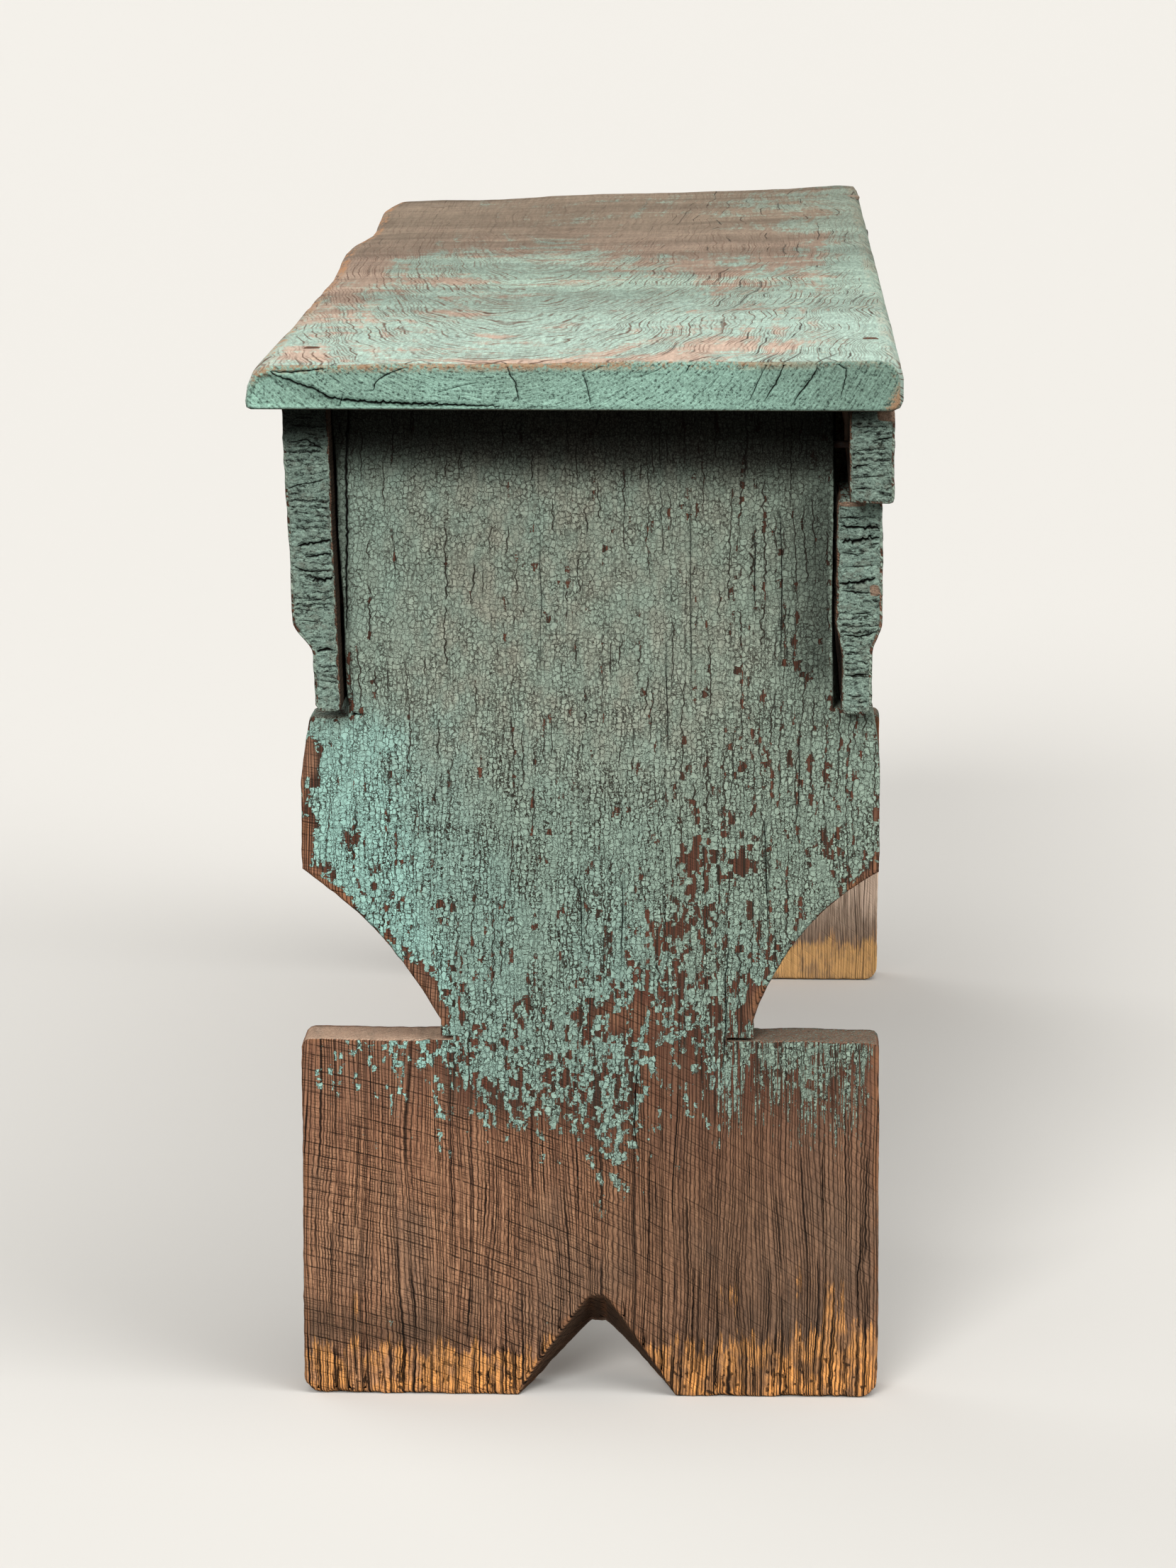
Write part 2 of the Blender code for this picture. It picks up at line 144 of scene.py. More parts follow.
def addFloor(setup):
    mesh = bpy.data.meshes.new("studio_floor")
    shape = bmesh.new()
    bmesh.ops.create_circle(shape, cap_ends=True, segments=setup["floorSides"], radius=setup["floorRadius"])
    shape.to_mesh(mesh)
    shape.free()
    floor = bpy.data.objects.new("studio_floor", mesh)
    scene.collection.objects.link(floor)
    material = bpy.data.materials.new("studio_floor")
    material.use_nodes = True
    tree = material.node_tree
    shader = tree.nodes["Principled BSDF"]
    tint = tree.nodes.new("ShaderNodeMix")
    tint.data_type = "RGBA"
    tint.inputs[6].default_value = (*setup["floorBounce"], 1)
    tint.inputs[7].default_value = (*setup["floorColour"], 1)
    tree.links.new(backdropRays(tree), tint.inputs[0])
    tree.links.new(tint.outputs[2], shader.inputs["Base Color"])
    shader.inputs["Roughness"].default_value = setup["floorRough"]
    shader.inputs["Specular IOR Level"].default_value = setup["floorShine"]
    mesh.materials.append(material)


addCamera(cameraSetup)
addLights(lightSetup)
addFloor(lightSetup)
print("camera, lights and floor")


# shader graph: a wire carries a socket, and sums on wires add Math nodes

class Wire:
    def __init__(self, graph, socket):
        self.graph = graph
        self.socket = socket

    def __add__(self, other):
        return self.graph.math("ADD", self, other)

    def __sub__(self, other):
        return self.graph.math("SUBTRACT", self, other)

    def __rsub__(self, other):
        return self.graph.math("SUBTRACT", other, self)

    def __mul__(self, other):
        return self.graph.math("MULTIPLY", self, other)

    def __truediv__(self, other):
        return self.graph.math("DIVIDE", self, other)

    __radd__ = __add__
    __rmul__ = __mul__


class Graph:
    def __init__(self, name):
        self.material = bpy.data.materials.new(name)
        self.material.use_nodes = True
        self.tree = self.material.node_tree
        self.shader = self.tree.nodes["Principled BSDF"]

    def node(self, kind, settings=None, inputs=None, out=0):
        made = self.tree.nodes.new(kind)
        for key, value in (settings or {}).items():
            if key == "stops":
                ramp = made.color_ramp
                while len(ramp.elements) < len(value):
                    ramp.elements.new(1)
                for element, (place, colour) in zip(ramp.elements, value):
                    element.position = place
                    element.color = (*colour, 1)
            else:
                setattr(made, key, value)
        for key, value in (inputs or {}).items():
            self.plug(made.inputs[key], value)
        return Wire(self, made.outputs[out])

    def plug(self, socket, value):
        if isinstance(value, Wire):
            self.tree.links.new(value.socket, socket)
        elif isinstance(value, tuple) and socket.type == "RGBA":
            socket.default_value = (*value, 1)[:4]
        else:
            socket.default_value = value

    def surface(self, **values):
        for key, value in values.items():
            self.plug(self.shader.inputs[key.replace("_", " ")], value)

    def math(self, operation, a, b=0.0):
        return self.node("ShaderNodeMath", {"operation": operation}, {0: a, 1: b})

    def step(self, value, low, high, first=0.0, last=1.0):
        inputs = {"Value": value, "From Min": low, "From Max": high, "To Min": first, "To Max": last}
        return self.node("ShaderNodeMapRange", {"interpolation_type": "SMOOTHSTEP"}, inputs)

    def fall(self, value, low, high):
        return self.step(value, low, high, 1.0, 0.0)

    def mix(self, factor, a, b, blend="MIX"):
        return self.node("ShaderNodeMix", {"data_type": "RGBA", "blend_type": blend}, {0: factor, 6: a, 7: b}, 2)

    def shade(self, colour, tone):
        return self.mix(1.0, colour, self.join(tone, tone, tone), "MULTIPLY")

    def attribute(self, name):
        return self.node("ShaderNodeAttribute", {"attribute_name": name}, None, 2)

    def noise(self, place, scale, detail=2.0, rough=0.5, distortion=0.0):
        if scale:
            place = self.node("ShaderNodeVectorMath", {"operation": "MULTIPLY"}, {0: place, 1: scale})
        inputs = {"Vector": place, "Scale": 1.0, "Detail": detail, "Roughness": rough, "Distortion": distortion}
        return self.node("ShaderNodeTexNoise", None, inputs)

    def strips(self, value, feature, out=0):
        settings = {"voronoi_dimensions": "1D", "feature": feature}
        return self.node("ShaderNodeTexVoronoi", settings, {"W": value, "Scale": 1.0, "Randomness": 1.0}, out)

    def lines(self, value, pitch):  # how far the nearest line is, in mm for a pitch in mm
        return self.strips(value, "DISTANCE_TO_EDGE") * pitch

    def stripLuck(self, value):  # one random value for each strip
        return self.apart(self.strips(value, "F1", 1), 0)

    def apart(self, value, index):
        return self.node("ShaderNodeSeparateXYZ", None, {0: value}, index)

    def join(self, x, y, z):
        return self.node("ShaderNodeCombineXYZ", None, {0: x, 1: y, 2: z})

    def relief(self, height):  # height in mm
        return self.node("ShaderNodeBump", None, {"Strength": 1.0, "Distance": 0.001, "Height": height})


# numpy noise for the shapes: values on a lattice, blended smoothly

def latticeValue(ix, iy, iz, seed):
    n = (ix * 374761393 + iy * 668265263 + iz * 432145639 + seed * 974634777) & 0x7FFFFFFF
    n = ((n ^ (n >> 13)) * 1274126177) & 0x7FFFFFFF
    n = ((n ^ (n >> 15)) * 1911520717) & 0x7FFFFFFF
    return (n & 0xFFFF) / 32767.5 - 1


def noiseAt(points, scale, seed, octaves=1):
    total = np.zeros(len(points))
    weight = 1.0
    reach = 0.0
    for octave in range(octaves):
        place = points * (np.array(scale) * 2.0 ** octave) + seed * 7.31
        cell = np.floor(place).astype(np.int64)
        part = place - cell
        part = part * part * (3 - 2 * part)
        for corner in range(8):
            dx, dy, dz = corner & 1, corner >> 1 & 1, corner >> 2 & 1
            share = np.abs(1 - dx - part[:, 0]) * np.abs(1 - dy - part[:, 1]) * np.abs(1 - dz - part[:, 2])
            total += weight * share * latticeValue(cell[:, 0] + dx, cell[:, 1] + dy, cell[:, 2] + dz, seed + octave)
        reach += weight
        weight *= 0.5
    return total / reach


def smoothStep(value, low, high):
    part = np.clip((value - low) / (high - low), 0, 1)
    return part * part * (3 - 2 * part)


def blot(across, up, middle, half, power=2):
    # 1 in the middle of a patch, fading out past its half sizes
    return np.exp(-((across - middle[0]) / half[0]) ** power - ((up - middle[1]) / half[1]) ** power)


# boards: rings of points along X, closed at both ends by finely filled caps

def ringNormals(ring):
    ahead = np.roll(ring, -1, axis=0) - np.roll(ring, 1, axis=0)
    return np.stack([ahead[:, 1], -ahead[:, 0]], axis=1) / np.linalg.norm(ahead, axis=1)[:, None]


def ringTurn(ring, reach):
    back = ring - np.roll(ring, reach, axis=0)
    ahead = np.roll(ring, -reach, axis=0) - ring
    cross = back[:, 0] * ahead[:, 1] - back[:, 1] * ahead[:, 0]
    return np.degrees(np.arctan2(cross, (back * ahead).sum(axis=1)))


quarterBow = -0.293  # bow of a quarter round for a radius of 1, outwards


def closedSteps(points, bows=None):
    points = list(points)
    return list(zip(points, points[1:] + points[:1], bows or [0] * len(points)))


def tracePath(steps, spacing, counts=None):
    # steps are (start, end, bow): a straight run, or an arc that bows to the left
    points = []
    used = []
    for index, (start, end, bow) in enumerate(steps):
        start = np.array(start)
        end = np.array(end)
        chord = np.linalg.norm(end - start)
        count = counts[index] if counts else max(1, round(chord / spacing))
        used.append(count)
        share = np.arange(count)[:, None] / count
        if abs(bow) < 1e-9:
            points.append(start + (end - start) * share)
            continue
        along = (end - start) / chord
        left = np.array((-along[1], along[0]))
        half = chord / 2
        radius = (half * half + bow * bow) / (2 * bow)
        spread = math.asin(min(half / abs(radius), 1.0))
        angle = spread * (2 * share - 1)
        centre = (start + end) / 2 - left * (radius - bow)
        points.append(centre + along * np.sin(angle) * abs(radius) + left * np.cos(angle) * radius)
    return np.vstack(points), used


crackShape = {
    "wander": 0.10,  # of the width, to either side
    "uneven": (0.6, 1.3),  # least and most of the width
    "taper": (0.12, 0.94), "blunt": 0.6,
}


def crackPoints(crack, spacing, chance, form=crackShape):
    # a split: its line, wandering a little, with a pair of points beside each one
    line = np.array(crack["line"]) / 1000
    runs = np.linalg.norm(np.diff(line, axis=0), axis=1)
    reach = np.concatenate([[0], np.cumsum(runs)])
    count = max(3, round(reach[-1] / spacing))
    at = np.linspace(0, reach[-1], count + 1)
    middle = np.stack([np.interp(at, reach, line[:, 0]), np.interp(at, reach, line[:, 1])], axis=1)
    ahead = np.gradient(middle, axis=0)
    side = np.stack([ahead[:, 1], -ahead[:, 0]], axis=1) / np.linalg.norm(ahead, axis=1)[:, None]
    middle = middle + side * chance.normal(0, crack["width"] * form["wander"] / 1000, len(at))[:, None]
    thin = np.sin(np.linspace(*form["taper"], count + 1) * math.pi) ** form["blunt"]
    half = (crack["width"] / 2000 * thin * chance.uniform(*form["uneven"], len(at)))[:, None]
    return middle, middle + side * half, middle - side * half, crack["depth"] / 1000 * thin


def pointTree(points):
    tree = kdtree.KDTree(len(points))
    for index, (y, z) in enumerate(points):
        tree.insert((y, z, 0), index)
    tree.balance()
    return tree


def nearest(tree, points):
    return np.array([tree.find((y, z, 0))[2] for y, z in points])


fillShape = {"rowGap": 0.866, "jitter": 0.16, "room": 0.62}  # shares of the spacing


def fillCap(outline, spacing, cracks, seed, form=fillShape):
    chance = np.random.default_rng(seed)
    near = [tuple(point) for point in outline]
    fixed = []
    depths = []
    edges = [(index, (index + 1) % len(outline)) for index in range(len(outline))]
    for crack in cracks:
        middle, one, other, depth = crackPoints(crack, spacing, chance)
        first = len(outline) + len(fixed)
        edges += [(first + index, first + index + 1) for index in range(len(middle) - 1)]
        fixed += [tuple(point) for row in (middle, one, other) for point in row]
        depths += list(depth) + [0.0] * (2 * len(middle))
    start, end = outline, np.roll(outline, -1, axis=0)
    inner = []
    rows = np.arange(outline[:, 1].min() + spacing * 0.5, outline[:, 1].max(), spacing * form["rowGap"])
    for row, level in enumerate(rows):
        crossing = (start[:, 1] <= level) != (end[:, 1] <= level)
        share = (level - start[crossing, 1]) / (end[crossing, 1] - start[crossing, 1])
        hits = np.sort(start[crossing, 0] + share * (end[crossing, 0] - start[crossing, 0]))
        shift = 0.5 * (row % 2)
        for low, high in zip(hits[::2], hits[1::2]):
            first = math.ceil(low / spacing + shift)
            last = math.floor(high / spacing + shift)
            inner += [((index - shift) * spacing, level) for index in range(first, last + 1)]
    inner = np.array(inner).reshape(-1, 2)
    inner = inner + chance.uniform(-form["jitter"], form["jitter"], inner.shape) * spacing
    inner = inner[nearest(pointTree(near + fixed), inner) > spacing * form["room"]]
    points = [Vector(point) for point in near + fixed] + [Vector(point) for point in inner]
    made, _, faces, origin, _, _ = geometry.delaunay_2d_cdt(points, edges, [], 1, 1e-8)
    depth = np.zeros(len(points))
    depth[len(near):len(near) + len(fixed)] = depths
    place = []
    extra = []  # points made where two splits cross
    for index, source in enumerate(origin):
        if source:
            place.append(source[0])
        else:
            place.append(len(points) + len(extra))
            extra.append(made[index])
    cloud = np.array([tuple(point) for point in points + extra])[len(near):]
    depth = np.concatenate([depth, np.full(len(extra), max(depths, default=0.0))])[len(near):]
    triangles = np.array([[place[corner] for corner in face] for face in faces])
    return cloud, triangles, depth, nearest(pointTree(outline), cloud)


def buildBoard(name, rings, caps, cornerAngle=28):
    # rings: stations x points x 3. caps: fill settings at the first and the last ring
    stations, count, _ = rings.shape
    places = [rings.reshape(-1, 3)]
    index = np.arange(stations * count).reshape(stations, count)
    after = np.roll(index, -1, axis=1)
    quads = np.stack([index[:-1], after[:-1], after[1:], index[1:]], axis=2).reshape(-1, 4)
    faces = quads.tolist()
    middle = rings[stations // 2][:, 1:]
    turn = np.abs(ringTurn(middle, 2))
    sharp = middle[turn > cornerAngle]
    toCorner = np.full(count, 1.0)
    if len(sharp):
        toCorner = nearest(pointTree(sharp), middle)
    ends = [rings[0][:, 0].mean(), rings[-1][:, 0].mean()]
    x = rings[:, :, 0]
    toEnd = np.minimum(np.abs(x - ends[0]), np.abs(x - ends[1]))
    rim = [np.minimum(toEnd, toCorner[None, :]).reshape(-1)]
    zone = [np.zeros(stations * count, dtype=int)]
    split = [np.zeros(stations * count)]
    total = stations * count
    for side, (station, cap) in enumerate(zip((0, stations - 1), caps)):
        outline = rings[station][:, 1:]
        inner, triangles, depth, gap = fillCap(outline, cap["spacing"], cap["cracks"], cap["seed"] + side)
        moved = np.where(triangles < count, triangles + station * count, triangles - count + total)
        faces += moved.tolist()
        places.append(np.column_stack([np.full(len(inner), ends[side]), inner]))
        rim.append(gap)
        zone.append(np.full(len(inner), side + 1))
        split.append(depth)
        total += len(inner)
    places = np.vstack(places)
    mesh = bpy.data.meshes.new(name)
    mesh.from_pydata(places.tolist(), [], faces)
    shape = bmesh.new()
    shape.from_mesh(mesh)
    bmesh.ops.recalc_face_normals(shape, faces=shape.faces)
    shape.to_mesh(mesh)
    shape.free()
    board = bpy.data.objects.new(name, mesh)
    scene.collection.objects.link(board)
    normal = np.empty(len(places) * 3)
    mesh.vertices.foreach_get("normal", normal)
    facts = {
        "place": places,
        "normal": normal.reshape(-1, 3),
        "rim": np.concatenate(rim),
        "zone": np.concatenate(zone),
        "split": np.concatenate(split),
    }
    return board, facts


def finishBoard(board, facts, lift, marks, material, nodes):
    mesh = board.data
    place = facts["place"] + facts["normal"] * (lift - facts["split"])[:, None]
    mesh.vertices.foreach_set("co", place.reshape(-1))
    for name, values in marks.items():
        layer = mesh.attributes.new(name, "FLOAT", "POINT")
        layer.data.foreach_set("value", np.asarray(values, dtype=np.float32))
    mesh.polygons.foreach_set("use_smooth", np.ones(len(mesh.polygons), dtype=bool))
    mesh.update()
    mesh.materials.append(material)
    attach(board, "root")
    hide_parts(*nodes)
    print(board.name, len(mesh.polygons), "faces")


# old paint and bare wood

paintLook = {
    "cell": (2.0, 3.1),  # plates in columns, mm across and along the grain
    "even": 2.4,  # plates of the even net, mm
    "splitGap": 4.8,  # mm between the places of splits, and of gashes in end grain
    "gashGap": 3.0,
    "blockTop": 0.36,  # the legs' plates stand in columns up to here
    "shine": 0.04,
    "bright": (0.350, 0.590, 0.520),
    "fresh": (0.285, 0.425, 0.365),
    "dull": (0.282, 0.372, 0.304),
    "dusty": (0.328, 0.340, 0.274),
    "gap": (0.034, 0.029, 0.022),
    "chip": (0.140, 0.056, 0.036),
    "pit": (0.022, 0.023, 0.018),
    "void": (0.010, 0.008, 0.007),
}

woodLook = {
    "lineGap": 1.5,  # mm between grain lines, rifts and frayed fibres
    "riftGap": 5.5,
    "frayGap": 4.2,
    "dark": (0.050, 0.025, 0.016),
    "mid": (0.285, 0.146, 0.084),
    "light": (0.520, 0.290, 0.165),
    "red": (0.195, 0.084, 0.053),
    "tan": (0.770, 0.355, 0.116),
    "soil": (0.050, 0.036, 0.026),
    "grey": (0.150, 0.110, 0.080),
    "worn": (0.330, 0.150, 0.072),
    "dust": (0.700, 0.515, 0.385),
    "paleDustAndLight": (0.980, 0.740, 0.570),
    "paleTan": (0.970, 0.560, 0.225),
    "glow": (0.980, 0.430, 0.125),
    "line": (0.030, 0.018, 0.012),
}


def grainPlace(graph, along):
    # object coordinates turned so that X is across the grain, Y through the board, Z along the grain
    coordinates = graph.node("ShaderNodeTexCoord", None, None, 3)
    x, y, z = (graph.apart(coordinates, index) for index in range(3))
    order = {"z": (y, x, z), "x": (z, y, x), "flat": (y, z, x)}[along]
    return graph.join(*order), order


def crazing(graph, place, side, length, cell, even):
    # cracked paint: plates in columns between grain lines, each column broken at heights of its own,
    # and an even net of smaller plates
    sway = graph.noise(place, (150, 150, 55), 2.0)
    wobble = graph.noise(place, (640, 640, 480), 2.0)
    jog = graph.noise(place, (330, 330, 700), 2.0)
    column = side * (1000 / cell[0]) + (sway - 0.5) * 3.0 + (wobble - 0.5) * 1.7
    beside = graph.lines(column, cell[0])
    columnLuck = graph.stripLuck(column)
    row = length * (1000 / cell[1]) + columnLuck * 91.7 + (jog - 0.5) * 2.3
    above = graph.lines(row, cell[1])
    rowLuck = graph.stripLuck(row)
    pair = graph.join(columnLuck, rowLuck, 0.0)
    luck = graph.node("ShaderNodeTexWhiteNoise", {"noise_dimensions": "2D"}, {"Vector": pair})
    spot = graph.join(side * (1000 / even) + (wobble - 0.5) * 1.3, length * (920 / even) + (jog - 0.5) * 1.3, 0.0)
    settings = {"voronoi_dimensions": "2D", "feature": "DISTANCE_TO_EDGE"}
    net = graph.node("ShaderNodeTexVoronoi", settings, {"Vector": spot, "Scale": 1.0, "Randomness": 1.0}) * even
    return graph.math("MINIMUM", beside, above), net, luck, rowLuck


def bareWood(graph, place, parts, sawn, marks):
    across, through, length = parts
    side = across + through
    grain = graph.noise(place, (1200, 1200, 12), 3.0, 0.62, 0.25)
    fine = graph.noise(place, (1700, 1700, 95), 3.0, 0.62)
    broad = graph.noise(place, (24, 24, 14), 3.0, 0.55)
    patch = graph.noise(place, (95, 95, 60), 3.0, 0.6)
    drift = graph.noise(place, (40, 40, 7), 2.0)
    shown = graph.noise(place, (150, 150, 24), 3.0, 0.6)
    torn = graph.noise(place, (130, 130, 15), 2.0, 0.5)
    column = side * (1000 / woodLook["lineGap"]) + (drift - 0.5) * 9.0
    line = graph.fall(graph.strips(column, "DISTANCE_TO_EDGE"), 0.04, 0.24)
    line = line * graph.step(shown, 0.25, 0.55, 0.55, 1.0)
    lot = graph.stripLuck(column * 0.6)
    rift = graph.lines(side * (1000 / woodLook["riftGap"]) + (drift - 0.5) * 2.6, woodLook["riftGap"])
    rift = graph.fall(rift, 0.10, 0.36) * graph.step(torn, 0.47, 0.55)
    stops = [(0.36, woodLook["dark"]), (0.5, woodLook["mid"]), (0.66, woodLook["light"])]
    wood = graph.node("ShaderNodeValToRGB", {"stops": stops}, {0: grain * 0.38 + fine * 0.56 + lot * 0.06})
    wood = graph.mix(graph.step(broad, 0.42, 0.64) * 0.4, wood, woodLook["grey"])
    height = grain * 0.2 + fine * 0.16
    if sawn:
        out = across - sawn["centre"][0]
        up = length - sawn["centre"][1]
        reach = graph.math("SQRT", out * out + up * up) * 1000 + (patch - 0.5) * 1.6
        arc = graph.lines(reach / sawn["pitch"], sawn["pitch"])
        weave = graph.lines(reach / sawn["fine"], sawn["fine"])
        dash = graph.noise(place, (420, 420, 90), 3.0, 0.7)
        left = graph.step(across, -0.02, 0.08, 1.0, 0.42)
        saw = graph.fall(arc, 0.08, 0.46) * graph.step(dash, 0.31, 0.46) * left
        saw = saw * graph.step(patch, 0.38, 0.60, 0.30, 1.0)
        weave = graph.fall(weave, 0.05, 0.40) * graph.step(dash, 0.42, 0.58) * left
        ruddy = graph.step(length, 0.07, 0.16, 0.0, 0.62) * graph.step(across, -0.06, 0.04, 0.7, 1.0)
        wood = graph.mix(ruddy, wood, woodLook["red"])
        greyed = graph.step(across, 0.0, 0.10, 0.0, 0.42) * graph.step(length, 0.07, 0.13, 1.0, 0.4)
        wood = graph.mix(greyed, wood, woodLook["grey"])
        tone = graph.step(across, -0.11, 0.10, 1.20, 0.92)
        tone = tone - graph.step(across, 0.0, 0.02) * graph.step(across, 0.075, 0.095, 0.13, 0.0)
        wood = graph.shade(wood, tone)
        wood = graph.mix(weave * graph.step(patch, 0.34, 0.6, 0.2, 0.6), wood, woodLook["line"])
        wood = graph.mix(saw * 0.85, wood, woodLook["line"])
        height = height - saw * 0.3 - weave * 0.14
    stain = (lot - 0.5) * 0.5 + (grain - 0.5) * 1.8 + (patch - 0.5) * 0.9 + (fine - 0.5) * 1.0
    soil = marks["soil"] + stain * (marks["soil"] * 0.9 + 0.12)
    wood = graph.mix(graph.step(soil, 0.26, 0.84) * 0.60, wood, woodLook["soil"])
    burnt = marks["tan"] + (lot - 0.5) * 0.50 + (grain - 0.5) * 0.7 + (fine - 0.5) * 0.6
    burnt = graph.step(burnt, 0.40, 0.56) * graph.step(fine, 0.34, 0.56, 0.30, 0.95)
    burnt = burnt * graph.step(patch, 0.36, 0.56, 0.22, 1.0)
    tan = graph.mix(graph.step(marks["tan"], 0.85, 1.15), woodLook["tan"], woodLook["glow"])
    wood = graph.mix(burnt, wood, tan)
    frayed = graph.lines(side * (1000 / woodLook["frayGap"]) + (drift - 0.5) * 4.0, woodLook["frayGap"])
    crumb = graph.noise(place, (260, 260, 240), 2.0, 0.6)
    frayed = graph.fall(frayed, 0.20, 0.52) * graph.step(torn + crumb * 0.4, 0.57, 0.66)
    clean = graph.fall(marks["dust"], 0.0, 0.3)
    frayed = frayed * graph.step(marks["tan"], 0.05, 0.5) * clean
    lost = graph.step(crumb, 0.60, 0.66) * graph.step(marks["tan"], 0.62, 1.0) * clean
    rubbed = graph.step(marks["rim"], 0.0002, 0.0024, 0.55, 0.0) * graph.step(patch, 0.42, 0.62)
    wood = graph.mix(rubbed, wood, woodLook["worn"])
    wood = graph.mix(line * 0.90, wood, woodLook["line"])
    wood = graph.mix(rift * 0.95, wood, paintLook["void"])
    wood = graph.mix(graph.math("MAXIMUM", frayed, lost * 0.9) * 0.92, wood, paintLook["void"])
    dust = graph.math("MINIMUM", marks["dust"], 1.0) * graph.step(fine, 0.3, 0.65, 0.4, 0.85)
    wood = graph.mix(dust, wood, woodLook["dust"])
    finger = graph.noise(place, (330, 330, 15), 3.0, 0.6)
    fallow = marks["tan"] + (finger - 0.5) * 1.1 + (patch - 0.5) * 0.8 + (fine - 0.5) * 0.5
    fallow = graph.step(fallow, 0.45, 0.72) * graph.step(marks["dust"], 0.25, 0.4)
    fallow = fallow * graph.step(fine * 0.5 + patch * 0.5, 0.40, 0.54, 0.25, 0.92)
    wood = graph.mix(fallow, wood, woodLook["paleTan"])
    # where the dust is thickest the wood turns pale: real dust, and on the legs' inner faces also painted light
    dustAndPaintedLight = marks["dust"] + (finger - 0.5) * 1.9 + (fine - 0.5) * 0.5
    wood = graph.mix(graph.step(dustAndPaintedLight, 1.05, 1.55) * 0.9, wood, woodLook["paleDustAndLight"])
    return wood, height - line * 0.3 - rift * 0.6 - frayed * 0.5, grain


